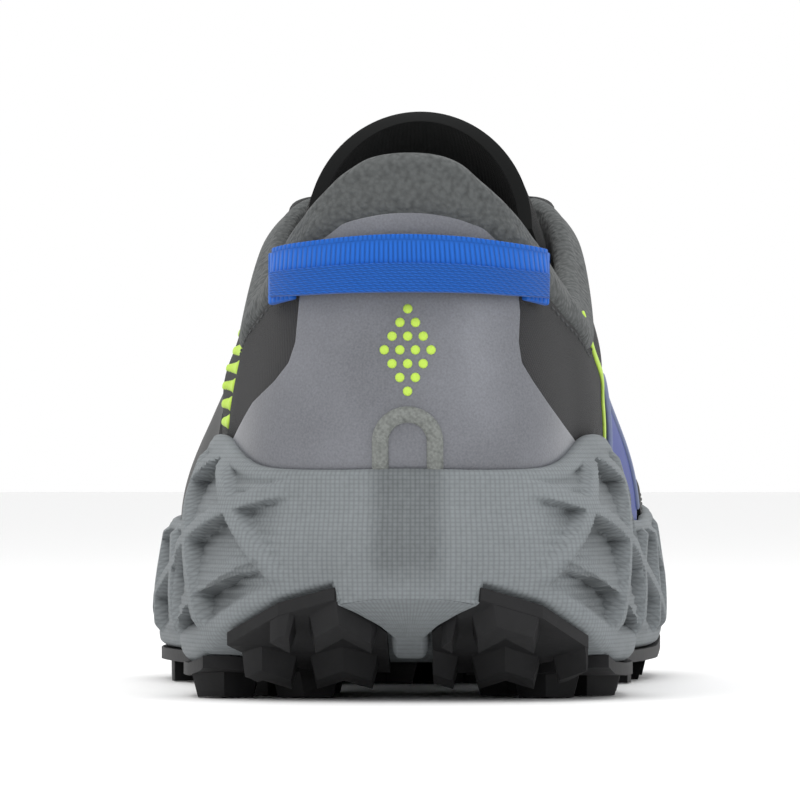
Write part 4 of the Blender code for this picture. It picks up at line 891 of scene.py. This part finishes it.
def makeOutsole():
    for part in outsole["pieces"]:
        name = "outsole_" + part
        work = bmesh.new()
        work.from_mesh(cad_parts[name].data)
        bmesh.ops.remove_doubles(work, verts=work.verts, dist=outsole["weld"])
        bmesh.ops.dissolve_limit(work, angle_limit=math.radians(outsole["flatAngle"]),
                                 verts=work.verts, edges=work.edges)
        mesh = newMesh(name + "_rubber", work)
        piece = addPiece(name + "_rubber", mesh, "rubber", [name], angle=35.0)
        softenEdges(piece, outsole["edge"], 2, outsole["edgeAngle"])


makeOutsole()
print("outsole made")


# Upper's skin, which thickens to the collar's pad over this share of the rise
padReach = 0.34


def wallThickness(around, rise):
    nearRim = softStep((rise - (topRise(around) - padReach)) / padReach)
    return shoe["wall"] + (padAt(around) - shoe["wall"]) * nearRim


def upperPlace(u, v):
    top = topRise(u)
    outer = np.clip(v / upper["outerEnd"], 0, 1) * top
    inner = np.clip((1.0 - v) / (1.0 - upper["edgeEnd"]), 0, 1) * top
    isOuter, isInner = v <= upper["outerEnd"], v >= upper["edgeEnd"]
    rise = np.where(isOuter, outer, np.where(isInner, inner, top))
    wall = wallThickness(u, rise)
    edge = np.clip((v - upper["outerEnd"]) / (upper["edgeEnd"] - upper["outerEnd"]), 0, 1)
    out = np.where(isOuter, 0.0, np.where(isInner, -wall, -wall * (0.5 - 0.5 * np.cos(edge * math.pi))))
    out = out + upperRelief(wallPoint(u, rise))
    spot = wallSurface(u, rise, out)
    upward = unit(wallPoint(u, np.minimum(rise, 0.99)) - wallPoint(u, np.minimum(rise, 0.99) - 0.02))
    lift = np.where(isOuter | isInner, 0.0, np.sin(edge * math.pi) * wall * 0.3)
    return spot + upward * lift[:, None]


wallMesh = gridMesh("upperWall", upper["columns"], upper["rows"], upperPlace, (girth, 0.24), 0.00002,
                    closed=True)
addPiece("upperWall", wallMesh, "mesh", ["upper"])
print("upper made")


# Collar: padded roll that carries the wall on, with its lining down the inside
collar = {
    "columns": 420, "rows": 56, "swell": 0.0015, "tuck": 0.0006, "outerEnd": 0.32, "rollEnd": 0.54,
    "frontGap": 0.0115, "lift": 0.002, "lowerEdge": 0.16, "rollLift": 0.5,
    # lining: how far down it runs and how low at most, how thin, and where it starts to tuck back
    "liningReach": 0.42, "liningLow": 0.25, "liningProud": 0.0004, "tuckGap": 0.0006, "tuckFrom": 0.55,
    # short gathers across the roll: place around, half width, depth
    "gathers": ((-0.085, 0.0045, 0.0005), (-0.058, 0.0035, 0.0004), (-0.030, 0.005, 0.0003),
                (0.024, 0.005, 0.0003), (0.052, 0.0035, 0.0004), (0.082, 0.0045, 0.0005),
                (0.118, 0.006, 0.0004), (-0.121, 0.006, 0.0004)),
}


def collarPlace(u, v):
    # u runs from the inner front round the heel to the outer front
    start, end = frontIn - 1.0 + collar["frontGap"], frontOut - collar["frontGap"]
    around = start + (end - start) * u
    low, pad = cuffRise(around) + collar["lift"], padAt(around)
    liningEnd = np.maximum(low - collar["liningReach"], collar["liningLow"])
    outerEnd, rollEnd = collar["outerEnd"], collar["rollEnd"]
    outerShare = np.clip(v / outerEnd, 0, 1)
    rollShare = np.clip((v - outerEnd) / (rollEnd - outerEnd), 0, 1)
    innerShare = np.clip((v - rollEnd) / (1.0 - rollEnd), 0, 1)
    rise = np.where(v < outerEnd, low + (1.0 - low) * outerShare,
                    np.where(v < rollEnd, 1.0, 1.0 + (liningEnd - 1.0) * innerShare))
    gather = np.zeros(u.shape)
    for spot, half, depth in collar["gathers"]:
        gather -= depth * np.exp(-((around - spot) / half) ** 2)
    lower = np.sqrt(1.0 - (1.0 - np.clip(outerShare / collar["lowerEdge"], 0, 1)) ** 2)
    swell = (collar["swell"] * np.sin(outerShare ** 0.8 * math.pi) + gather * np.sin(outerShare * math.pi)
             - collar["tuck"] * (1.0 - lower))
    over = -pad * (0.5 - 0.5 * np.cos(rollShare * math.pi))
    out = np.where(v < outerEnd, swell, np.where(v < rollEnd, over, -pad - collar["liningProud"]))
    tuckShare = softStep((innerShare - collar["tuckFrom"]) / (1.0 - collar["tuckFrom"]))
    tucked = -pad + (pad - shoe["wall"] - collar["tuckGap"]) * tuckShare
    out = np.where((v >= rollEnd) & (innerShare > collar["tuckFrom"]), tucked, out)
    spot = wallSurface(around, np.minimum(rise, 1.0), out)
    upward = unit(wallPoint(around, 0.99) - wallPoint(around, 0.97))
    rolled = (v >= outerEnd) & (v < rollEnd)
    lift = np.where(rolled, np.sin(rollShare * math.pi) * (pad * collar["rollLift"] + gather), 0.0)
    return spot + upward * lift[:, None]


rollMesh = gridMesh("collarRoll", collar["columns"], collar["rows"], collarPlace, (0.24, 0.05), reverse=True)
collarRoll = addPiece("collarRoll", rollMesh, "crepe", ["collar_cuff"], angle=70.0)
print("collar made")


# Heel pieces
counter = {
    "columns": 96, "rows": 90, "proud": 0.0008, "wall": 0.0008,
    # height, outer edge and inner edge in metres from the heel's axis
    "edges": ((0.0470, -0.0405, 0.0370), (0.0500, -0.0385, 0.0350), (0.0530, -0.0366, 0.0328),
              (0.0560, -0.0348, 0.0307), (0.0610, -0.0317, 0.0274), (0.0655, -0.0270, 0.0246),
              (0.0695, -0.0240, 0.0224), (0.0740, -0.0226, 0.0218), (0.0810, -0.0220, 0.0220),
              (0.0880, -0.0215, 0.0215), (0.0940, -0.0205, 0.0205), (0.0997, -0.0195, 0.0195)),
    "archDrop": 0.0056, "archHalf": 0.0205,
    # lozenge of raised dots
    "dotPitch": 0.0031, "dotSize": 0.0010, "dotRows": 4, "dotHeight": 0.0715, "rowShare": 0.9,
}


def counterPlace(u, v):
    edges = np.array(counter["edges"])
    level = edges[0, 0] + (edges[-1, 0] - edges[0, 0]) * v
    left, right = np.interp(level, edges[:, 0], edges[:, 1]), np.interp(level, edges[:, 0], edges[:, 2])
    x = left + (right - left) * u
    # the top edge follows the collar's arch
    height = level - v**3 * counter["archDrop"] * (x / counter["archHalf"]) ** 2
    around, rise = heelSpot(x, height)
    return wallSurface(around, rise, shoe["gap"] + counter["proud"])


def makeCounter():
    mesh = gridMesh("heelCounter", counter["columns"], counter["rows"], counterPlace, (0.07, 0.06))
    thicken(addPiece("heelCounter", mesh, "speckle", ["heel_counter"]), counter["wall"])
    work = bmesh.new()
    for row in range(1 - counter["dotRows"], counter["dotRows"]):
        count = counter["dotRows"] - abs(row)
        for index in range(count):
            x = (index - (count - 1) / 2) * counter["dotPitch"]
            height = counter["dotHeight"] + row * counter["dotPitch"] * counter["rowShare"]
            around, rise = heelSpot(x, height)
            addDot(work, around, rise, shoe["gap"] + counter["proud"], counter["dotSize"])
    addPiece("counterDots", newMesh("counterDots", work), "lime", angle=80.0)


makeCounter()
print("counter made")


tape = {
    # heights at the middle, and how far each edge drops towards the ends
    "top": 0.0954, "topDrop": 0.0034, "bottom": 0.0829, "bottomDrop": 0.0010,
    "split": 0.0891, "splitDrop": 0.0023, "overlap": 0.0010, "height": 0.0125,
    # places across of the two ends, at the bottom and at the top
    "outerEnd": (-0.0269, -0.0255), "innerEnd": (0.0263, 0.0245), "half": 0.0255,
    "wall": 0.0014, "room": 0.0022, "fold": 0.0006, "rest": 0.0006, "steps": 150, "rows": 34,
    "tabBottom": 0.0806, "tabIn": 0.0220, "tabTop": 0.0915, "tabRest": 0.0012, "tabCorner": 0.0010,
}


def tapeLift(x):
    share = np.clip(x / (tape["half"] + 0.0008), -1, 1)
    stand = tape["room"] * (1.0 - share**4) + 2 * shoe["gap"] + shoe["overlay"]
    return tape["rest"] + stand * softStep((1.0 - np.abs(share)) / 0.07)


def tapePlace(low, lowDrop, high, highDrop, proud):
    def put(u, v):
        bend = ((-tape["half"] + 2 * tape["half"] * u) / tape["half"]) ** 2
        z = low - lowDrop * bend + (high - highDrop * bend - low + lowDrop * bend) * v
        share = np.clip((z - (tape["bottom"] - tape["bottomDrop"] * bend)) / tape["height"], 0, 1)
        left = tape["outerEnd"][0] + (tape["outerEnd"][1] - tape["outerEnd"][0]) * share
        right = tape["innerEnd"][0] + (tape["innerEnd"][1] - tape["innerEnd"][0]) * share
        x = left + (right - left) * u
        around, rise = heelSpot(x, z)
        return wallSurface(around, rise, tapeLift(x) + tape["wall"] + proud)
    return put


def tabPlace(left, right, outer):
    def put(u, v):
        x = left + (right - left) * u
        corner = tape["tabCorner"] * (1.0 - v) * np.abs(x - outer) / 0.004
        z = tape["tabBottom"] + corner + (tape["tabTop"] - tape["tabBottom"]) * v
        around, rise = heelSpot(x, z)
        return wallSurface(around, rise, tape["tabRest"] + tape["wall"])
    return put


def makeTape():
    ribbed = tapePlace(tape["split"] - tape["overlap"], tape["splitDrop"], tape["top"], tape["topDrop"], 0.0)
    mesh = gridMesh("pullTape", tape["steps"], tape["rows"], ribbed, (0.053, 0.0075))
    thicken(addPiece("pullTape", mesh, "webbing", ["heel_tape"]), tape["wall"], 0.0004)
    folded = tapePlace(tape["bottom"], tape["bottomDrop"], tape["split"], tape["splitDrop"], tape["fold"])
    mesh = gridMesh("pullTapeFold", tape["steps"], tape["rows"], folded, (0.053, 0.0065))
    thicken(addPiece("pullTapeFold", mesh, "twill", ["heel_tape"]),
            tape["wall"] + tape["fold"], 0.0005)
    outer, inner = tape["outerEnd"][0], tape["innerEnd"][0]
    for name, put in (("tapeTabOuter", tabPlace(outer, -tape["tabIn"], outer)),
                      ("tapeTabInner", tabPlace(tape["tabIn"], inner, inner))):
        mesh = gridMesh(name, 14, 20, put, (0.005, 0.011))
        thicken(addPiece(name, mesh, "webbing"), tape["wall"], 0.0004)


makeTape()
print("tape made")


trim = {"width": 0.0033, "height": 0.0125, "span": 0.0142, "wall": 0.0013, "foot": 0.0476}


def trimPlace(u, v):
    # up one leg, over the arch and down the other, half round across
    half = (trim["span"] - trim["width"]) / 2
    straight = trim["height"] - half - trim["width"] / 2
    total = 2 * straight + math.pi * half
    way = u * total
    turn = np.clip((way - straight) / half, 0.0, math.pi)
    x = -half * np.cos(turn)
    arch = straight + half * np.sin(turn)
    z = trim["foot"] + np.where(way < straight, way, np.where(way > total - straight, total - way, arch))
    angle = v * math.pi
    reach = -np.cos(angle) * trim["width"] / 2
    lift = np.sin(angle) ** 0.7 * trim["wall"] + shoe["gap"] + counter["proud"] - 0.0001
    around, rise = heelSpot(x - np.cos(turn) * reach, z + np.sin(turn) * reach)
    return wallSurface(around, rise, lift)


addPiece("heelTrim", gridMesh("heelTrim", 90, 14, trimPlace, (0.035, 0.005)), "trim", ["heel_trim"])
print("trim made")


# Smooth overlays of the sides and toe
panels = {
    # along as a share of the length, height as a share of the instep's height
    "inner": ((0.395, 0.40), (0.425, 0.54), (0.470, 0.635), (0.545, 0.60), (0.610, 0.50), (0.645, 0.36)),
    "outer": ((0.360, 0.38), (0.400, 0.49), (0.460, 0.61), (0.540, 0.60), (0.620, 0.46), (0.660, 0.34)),
    "toe": ((0.700, 0.20), (0.745, 0.37), (0.810, 0.428), (0.870, 0.481), (0.930, 0.558), (1.040, 0.635)),
    "steps": 110, "rows": 44, "proud": 0.0008, "wall": 0.0010, "edge": 0.0004, "underLip": 0.0025,
    "capSteps": 220, "capUnder": 0.04,
}


def panelEdge(outline):
    points = np.array([(y * shoe["length"], z * shoe["instepHeight"], 0.0) for y, z in outline])
    return curvePath(points, 12)


def panelPlace(side, outline):
    edge = panelEdge(outline)
    stops = np.linspace(0, 1, len(edge))

    def put(u, v):
        y, top = np.interp(u, stops, edge[:, 0]), np.interp(u, stops, edge[:, 1])
        around, _ = sideSpot(side, y, top)
        foot = ring("lip", around) - panels["underLip"]
        around, rise = sideSpot(side, y, foot + (np.maximum(top, foot + 0.0005) - foot) * v)
        return wallSurface(around, rise, shoe["gap"] + panels["proud"])
    return put


def makeSidePanels():
    for side, key, finish, slotName in ((-1, "inner", "deepBlue", "deep_blue"),
                                        (1, "outer", "black", "smooth_black")):
        mesh = gridMesh(key + "Panel", panels["steps"], panels["rows"], panelPlace(side, panels[key]),
                        (0.08, 0.05), reverse=side > 0)
        thicken(addPiece(key + "Panel", mesh, finish, [key + "_panel"]),
                panels["wall"], panels["edge"])


def makeToeCap():
    # from the lip up to a line that climbs towards the toe
    line = np.array(panels["toe"])
    capHeight = np.interp(fineProfile[..., 1], line[:, 0] * shoe["length"], line[:, 1] * shoe["instepHeight"])
    under = (fineProfile[..., 2] < capHeight) & (fineProfile[..., 1] > line[0, 0] * shoe["length"])
    reached = np.array([fineRise[under[:, i]].max() if under[:, i].any() else 0.0 for i in range(fineCount)])
    smooth = np.convolve(np.concatenate((reached[-8:], reached, reached[:8])), np.ones(7) / 7, "same")[8:-8]
    capRise = overColumns(smooth)
    covered = fineAround[smooth > lipRise(fineAround) + 0.02]
    first, last = covered.min(), covered.max()

    def capPlace(u, v):
        around = first + (last - first) * u
        low = lipRise(around) - panels["capUnder"]
        rise = low + (np.maximum(capRise(around), low + 0.01) - low) * v
        return wallSurface(around, rise, shoe["gap"] + panels["proud"])

    mesh = gridMesh("toeCap", panels["capSteps"], panels["rows"], capPlace, (0.2, 0.05), reverse=True)
    thicken(addPiece("toeCap", mesh, "black", ["toe_cap"]), panels["wall"], panels["edge"])
    return first, last, capRise


makeSidePanels()
capFirst, capLast, capRise = makeToeCap()
print("panels made")


# Piping and dots that lie on the wall
bands = {
    "pipingWidth": 0.0022, "pipingHeight": 0.0013,
    # inner quarter's piping: along and height from the collar down to the lip
    "quarterLine": ((0.0655, 0.0800), (0.071, 0.0735), (0.080, 0.0665), (0.093, 0.0590), (0.112, 0.0470)),
    "quarterWidth": 0.0024, "quarterHeight": 0.0009,
    # outer quarter's dots, smaller towards the toe: first place along, lowest height, pitch, counts
    "dotStart": 0.0560, "dotFoot": 0.0570, "dotPitch": 0.0044, "dotColumns": 13, "dotRows": 6,
    "dotSizes": (0.0016, 0.0006), "dotLean": 0.0022, "rowShare": 0.86,
}


def makePiping():
    # round the inner panel
    edge = panelEdge(panels["inner"])
    around, rise = sideSpot(-1, edge[:, 0], edge[:, 1])
    normals = wallNormal(around, rise)
    path = wallPoint(around, rise) + normals * (shoe["gap"] + panels["proud"] + 0.0001)
    mesh = bandMesh("panelPiping", path, np.cross(np.gradient(path, axis=0), normals), bands["pipingWidth"],
                    bands["pipingHeight"], 150)
    addPiece("panelPiping", mesh, "piping", angle=80.0)
    # down the inner quarter, over the wall's folds
    line = curvePath([(y, z, 0.0) for y, z in bands["quarterLine"]], 12)
    around, rise = sideSpot(-1, line[:, 0], line[:, 1])
    normals, spots = wallNormal(around, rise), wallPoint(around, rise)
    path = spots + normals * (upperRelief(spots)[:, None] + bands["quarterHeight"] * 0.25)
    mesh = bandMesh("quarterPiping", path, np.cross(np.gradient(path, axis=0), normals),
                    bands["quarterWidth"], bands["quarterHeight"], 90)
    addPiece("quarterPiping", mesh, "lime", angle=80.0)


def makeQuarterDots():
    work = bmesh.new()
    for column in range(bands["dotColumns"]):
        share = column / (bands["dotColumns"] - 1)
        size = bands["dotSizes"][0] + (bands["dotSizes"][1] - bands["dotSizes"][0]) * share
        for row in range(bands["dotRows"]):
            y = bands["dotStart"] + column * bands["dotPitch"] + row * bands["dotLean"]
            around, rise = sideSpot(1, y, bands["dotFoot"] + row * bands["dotPitch"] * bands["rowShare"])
            addDot(work, around, rise, float(upperRelief(wallPoint(around, rise)[None, :])[0]), size)
    addPiece("quarterDots", newMesh("quarterDots", work), "lime", angle=80.0)


makePiping()
makeQuarterDots()
print("piping and dots made")


# Eyestay, eyelets and lace
throat = {
    "columns": 260, "rows": 18, "proud": 0.0012, "edge": 0.0016, "foldStart": 0.86, "foldShare": 0.6,
    "stayWall": 0.0011, "beyond": 0.006, "eyeletRows": 6, "first": 0.625, "step": 0.038,
    "ringRadius": 0.0026, "ringWall": 0.0007, "holeDepth": 0.0004, "laceWidth": 0.0060, "neckWidth": 0.0036,
    "laceWall": 0.0013, "arch": 0.0014, "clear": 0.0006, "crossing": 0.0015, "sink": 0.0016, "turn": 0.36,
}


def stayPlace(u, v):
    around = frontOut - throat["beyond"] + (frontIn - frontOut + 2 * throat["beyond"]) * u
    low = stayRise(around)
    rise = low + (1.0 - low) * np.clip(v / throat["foldStart"], 0, 1)
    over = np.clip((v - throat["foldStart"]) / (1.0 - throat["foldStart"]), 0, 1)
    # the end of the strip turns over the throat's edge
    out = (shoe["gap"] + throat["proud"]) * (1.0 - over) - over * (shoe["wall"] * throat["foldShare"])
    upward = unit(wallPoint(around, 1.0) - wallPoint(around, 0.97))
    lift = np.sin(over * math.pi / 2) * throat["edge"] * 0.5
    return wallSurface(around, rise, out) + upward * lift[:, None]


def eyeletSpot(side, row):
    # place around, middle and direction of one eyelet
    y = (throat["first"] - throat["step"] * row) * shoe["length"]
    spots = np.linspace(frontOut if side > 0 else frontIn, 0.5, 200)
    around = float(np.interp(y, ring("rimY", spots), spots))
    rise = float(eyeletRise(around))
    return around, wallPoint(around, rise), wallNormal(around, rise)


def rimSpot(around, lift):
    # where a strand leaves the throat's edge
    edge = wallPoint(around, 1.0)
    inward = unit(edge - wallPoint(around, 0.95))
    return edge + wallNormal(around, 0.99) * lift * 1.3 + inward * throat["clear"]


def lacePath(start, end, over):
    # one strand from eyelet to eyelet: its middle line, the direction across it and its widths
    lift = shoe["gap"] + throat["proud"] + throat["clear"] + throat["laceWall"] / 2 + 0.0002
    (aroundA, spotA, normalA), (aroundB, spotB, normalB) = start, end
    rimA, rimB = rimSpot(aroundA, lift), rimSpot(aroundB, lift)
    inA, inB = unit(rimA - spotA), unit(rimB - spotB)
    middle = (rimA + rimB) / 2 + np.array([0.0, 0.0, throat["arch"] + over * throat["crossing"]])
    points = [spotA - normalA * throat["sink"], spotA + normalA * lift * 0.55 + inA * 0.0002,
              spotA + normalA * lift * 1.15 + inA * 0.0018, rimA,
              middle, rimB,
              spotB + normalB * lift * 1.15 + inB * 0.0018, spotB + normalB * lift * 0.55 + inB * 0.0002,
              spotB - normalB * throat["sink"]]
    path = curvePath(points, 8)
    # across the ribbon: along the throat's edge at the eyelets, square to the run at the crossing
    alongA = unit(wallPoint(aroundA - 0.004, 0.9) - wallPoint(aroundA + 0.004, 0.9))
    alongB = unit(wallPoint(aroundB - 0.004, 0.9) - wallPoint(aroundB + 0.004, 0.9))
    square = unit(np.cross(rimB - rimA, np.array([0.0, 0.0, 1.0])))
    alongA, alongB = alongA * np.sign(alongA @ square), alongB * np.sign(alongB @ square)
    share, turn = np.linspace(0, 1, len(path))[:, None], throat["turn"]
    sides = (alongA * softStep(1.0 - share / turn)
             + square * softStep(share / turn) * softStep((1 - share) / turn)
             + alongB * softStep(1.0 - (1.0 - share) / turn))
    neck = softStep((np.minimum(share, 1 - share)[:, 0] - 0.12) / 0.20)
    return path, sides, throat["neckWidth"] + (throat["laceWidth"] - throat["neckWidth"]) * neck


def makeEyelet(label, spot, normal):
    # a spun ring, with a near-black disc inside it as painted shadow in the hole
    turn = Vector(normal).to_track_quat("Z", "Y").to_matrix().to_4x4()
    centre = Vector(spot + normal * (shoe["gap"] + throat["proud"] + 0.0001) + placeShift)
    home = Matrix.Translation(centre) @ turn
    upright = Matrix.Translation((throat["ringRadius"], 0, 0)) @ Matrix.Rotation(math.pi / 2, 4, "X")
    work = bmesh.new()
    bmesh.ops.create_circle(work, segments=10, radius=throat["ringWall"], matrix=upright)
    bmesh.ops.spin(work, geom=work.verts[:] + work.edges[:], cent=(0, 0, 0), axis=(0, 0, 1),
                   angle=2 * math.pi, steps=28, use_merge=True)
    bmesh.ops.recalc_face_normals(work, faces=work.faces)
    bmesh.ops.transform(work, matrix=home, verts=work.verts)
    name = "eyelet" + label
    addPiece(name, newMesh(name, work), "eyelet", angle=80.0)
    # painted shadow: a near-black disc standing in for the shade inside the hole
    work = bmesh.new()
    bmesh.ops.create_cone(work, cap_ends=True, segments=28, radius1=throat["ringRadius"],
                          radius2=throat["ringRadius"], depth=throat["holeDepth"], matrix=home)
    name = "eyeletHoleShadow" + label
    addPiece(name, newMesh(name, work), "holeShadow", angle=80.0)


def makeThroat():
    mesh = gridMesh("eyestay", throat["columns"], throat["rows"], stayPlace, (0.3, 0.016), reverse=True)
    thicken(addPiece("eyestay", mesh, "black", ["eyestay"]), throat["stayWall"])
    spots = {side: [eyeletSpot(side, row) for row in range(throat["eyeletRows"])] for side in (1, -1)}
    for side, label in ((1, "Outer"), (-1, "Inner")):
        for row, (_, spot, normal) in enumerate(spots[side]):
            makeEyelet(label + str(row + 1), spot, normal)
    # one strand across at the toe end, then crossed ones that pass over each other in turn
    strands = [(spots[1][0], spots[-1][0], 0.0)]
    for row in range(throat["eyeletRows"] - 1):
        strands.append((spots[1][row], spots[-1][row + 1], float(row % 2)))
        strands.append((spots[-1][row], spots[1][row + 1], float(1 - row % 2)))
    for index, strand in enumerate(strands):
        name = "laceStrand%02d" % (index + 1)
        path, sides, widths = lacePath(*strand)
        mesh = bandMesh(name, path, sides, widths, throat["laceWall"], 90, 14, 0.6)
        addPiece(name, mesh, "lace", ["lace"], angle=80.0)


makeThroat()
print("throat made")


# Tongue: arched sections from the toe end up
tongue = {
    "columns": 72, "rows": 110, "wall": 0.0028, "edge": 0.0009,
    # along as a share of the length, height and fall of the instep's height, half of the collar's width;
    # ahead is how far the sides run towards the toe, as a share of their fall
    "along": (0.690, 0.640, 0.580, 0.510, 0.425, 0.365, 0.325, 0.305),
    "height": (0.659, 0.665, 0.755, 0.850, 0.980, 1.055, 1.130, 1.180),
    "half": (0.22, 0.27, 0.285, 0.31, 0.365, 0.385, 0.390, 0.340),
    "fall": (0.060, 0.060, 0.090, 0.120, 0.160, 0.220, 0.290, 0.240),
    "ahead": (0.35, 0.35, 0.35, 0.35, 0.30, 0.10, -0.18, -0.32),
}


def tonguePlace(u, v):
    stops = np.linspace(0, 1, len(tongue["along"]))
    along, height, half, fall, ahead = (
        smoothLevels(stops, [np.full(len(v), value) for value in tongue[key]], v)
        for key in ("along", "height", "half", "fall", "ahead"))
    along, half = along * shoe["length"], half * shoe["collarWidth"]
    height, fall = height * shoe["instepHeight"], fall * shoe["instepHeight"]
    angle = (u - 0.5) * math.pi
    return np.stack([half * np.sin(angle), along + fall * ahead * (1 - np.cos(angle)),
                     height - fall * (1 - np.cos(angle))], axis=-1)


tongueMesh = gridMesh("tongueSheet", tongue["columns"], tongue["rows"], tonguePlace, (0.055, 0.13),
                      reverse=True)
tonguePiece = addPiece("tongueSheet", tongueMesh, "tongue", ["tongue"])
thicken(tonguePiece, tongue["wall"], tongue["edge"])
print("tongue made")


# Foot bed inside the shoe
insole = {"clear": 0.0040, "cup": 0.0015, "rim": 0.0070, "topShare": 0.85, "columns": 220, "rows": 22}


def insolePlace(u, v):
    # top from its middle line out to the rim, then down the side
    outX, outY = planOutward(u)
    mateX, mateY = planOutward(1.0 - u)
    edgeX, edgeY = ring("footX", u) - outX * insole["clear"], ring("footY", u) - outY * insole["clear"]
    otherX = ring("footX", 1.0 - u) - mateX * insole["clear"]
    otherY = ring("footY", 1.0 - u) - mateY * insole["clear"]
    share = np.clip(v / insole["topShare"], 0, 1)
    x = (edgeX + otherX) / 2 + (edgeX - otherX) / 2 * share
    y = (edgeY + otherY) / 2 + (edgeY - otherY) / 2 * share
    down = np.clip((v - insole["topShare"]) / (1.0 - insole["topShare"]), 0, 1)
    away = (1.0 - share) * np.hypot(edgeX - otherX, edgeY - otherY) / 2
    cup = insole["cup"] * softStep(1.0 - away / insole["rim"])
    z = footBed(y) + shoe["gap"] + (shoe["insole"] + cup) * (1.0 - down)
    return np.stack([x, y, z], axis=-1)


padMesh = gridMesh("insolePad", insole["columns"], insole["rows"], insolePlace, (girth, 0.07), 0.00002, True)
addPiece("insolePad", padMesh, "footBed", ["insole"])
print("insole made")


# Stitches
stitches = {
    "pitch": 0.0032, "length": 0.0022, "thickness": 0.0006,
    # how far from each edge the rows lie, as shares of the rise
    "belowStay": 0.030, "underCap": 0.035, "underCuff": 0.030,
    # gaps at the rows' ends and behind the heel, as shares of the way round
    "stayEnd": 0.002, "capEnd": 0.004, "cuffEnd": 0.014, "heelGap": 0.045,
}


def addStitches(name, around, rise, out):
    path = wallSurface(around, rise, out)
    spots, runs = evenPath(path, stitches["pitch"])
    mesh = stitchMesh(name, spots, runs, stitches["length"], stitches["thickness"])
    addPiece(name, mesh, "thread", angle=80.0)


def makeStitches():
    way = np.linspace(frontOut + stitches["stayEnd"], frontIn - stitches["stayEnd"], 400)
    rise = stayRise(way) + stitches["belowStay"]
    addStitches("stayStitches", way, rise, shoe["gap"] + throat["proud"])
    way = np.linspace(capFirst + stitches["capEnd"], capLast - stitches["capEnd"], 300)
    rise = capRise(way) - stitches["underCap"]
    addStitches("toeStitches", way, rise, shoe["gap"] + panels["proud"])
    way = np.linspace(frontIn - 1.0 + stitches["cuffEnd"], frontOut - stitches["cuffEnd"], 500)
    beside = np.abs(way) > stitches["heelGap"]
    for label, chosen in (("Inner", beside & (way < 0)), ("Outer", beside & (way > 0))):
        rise = cuffRise(way[chosen]) - stitches["underCuff"]
        addStitches("collarStitches" + label, way[chosen], rise, 0.0001)


makeStitches()
print("stitches made")


# Studio
studio = {
    # camera's place from the heel's back, and what it looks at
    "behind": 2.05, "aside": 0.0634, "eye": 0.057, "aim": (-0.003, 0.05, 0.0615), "lens": 455.0,
    "floorHalf": 6.0, "floorDrop": 0.0002, "lampAim": (0, 0, 0.05),
    # lamps: place, size, power, colour
    "lamps": (("keyLight", (-0.7, -1.0, 1.3), 0.9, 7.0, (1.0, 0.98, 0.96)),
              ("fillLight", (1.1, -0.9, 0.7), 0.9, 3.5, (0.96, 0.98, 1.0)),
              ("topLight", (0.0, 0.2, 1.6), 1.2, 9.0, (1.0, 1.0, 1.0))),
}


def placeInStudio(name, data, spot, aim):
    thing = bpy.data.objects.new(name, data)
    thing.location = spot
    thing.rotation_euler = (Vector(aim) - Vector(spot)).to_track_quat("-Z", "Y").to_euler()
    bpy.context.collection.objects.link(thing)
    return thing


def makeStudio():
    work = bmesh.new()
    bmesh.ops.create_grid(work, x_segments=1, y_segments=1, size=studio["floorHalf"])
    bmesh.ops.translate(work, verts=work.verts, vec=(0, 0, -studio["floorDrop"]))
    mesh = newMesh("studioFloor", work)
    floor = bpy.data.objects.new("studioFloor", mesh)
    bpy.context.collection.objects.link(floor)
    mesh.materials.append(makeMaterial("floorWhite", (0.90, 0.90, 0.90), 0.6)[0])
    world = bpy.data.worlds.new("studioWorld")
    world.use_nodes = True
    world.node_tree.nodes["Background"].inputs["Color"].default_value = (1.0, 1.0, 1.0, 1.0)
    world.node_tree.nodes["Background"].inputs["Strength"].default_value = 1.0
    bpy.context.scene.world = world
    for name, spot, size, power, colour in studio["lamps"]:
        data = bpy.data.lights.new(name, "AREA")
        data.size, data.energy, data.color = size, power, colour
        placeInStudio(name, data, spot, studio["lampAim"])


def makeCamera():
    data = bpy.data.cameras.new("photoCamera")
    data.lens = studio["lens"]
    data.sensor_width = 36.0
    data.clip_end = 30.0
    heel = Vector(placeShift)
    spot = heel + Vector((studio["aside"], -studio["behind"], studio["eye"]))
    bpy.context.scene.camera = placeInStudio("photoCamera", data, spot, heel + Vector(studio["aim"]))


makeStudio()
makeCamera()
bpy.context.scene.view_settings.view_transform = "Standard"
print("studio ready")
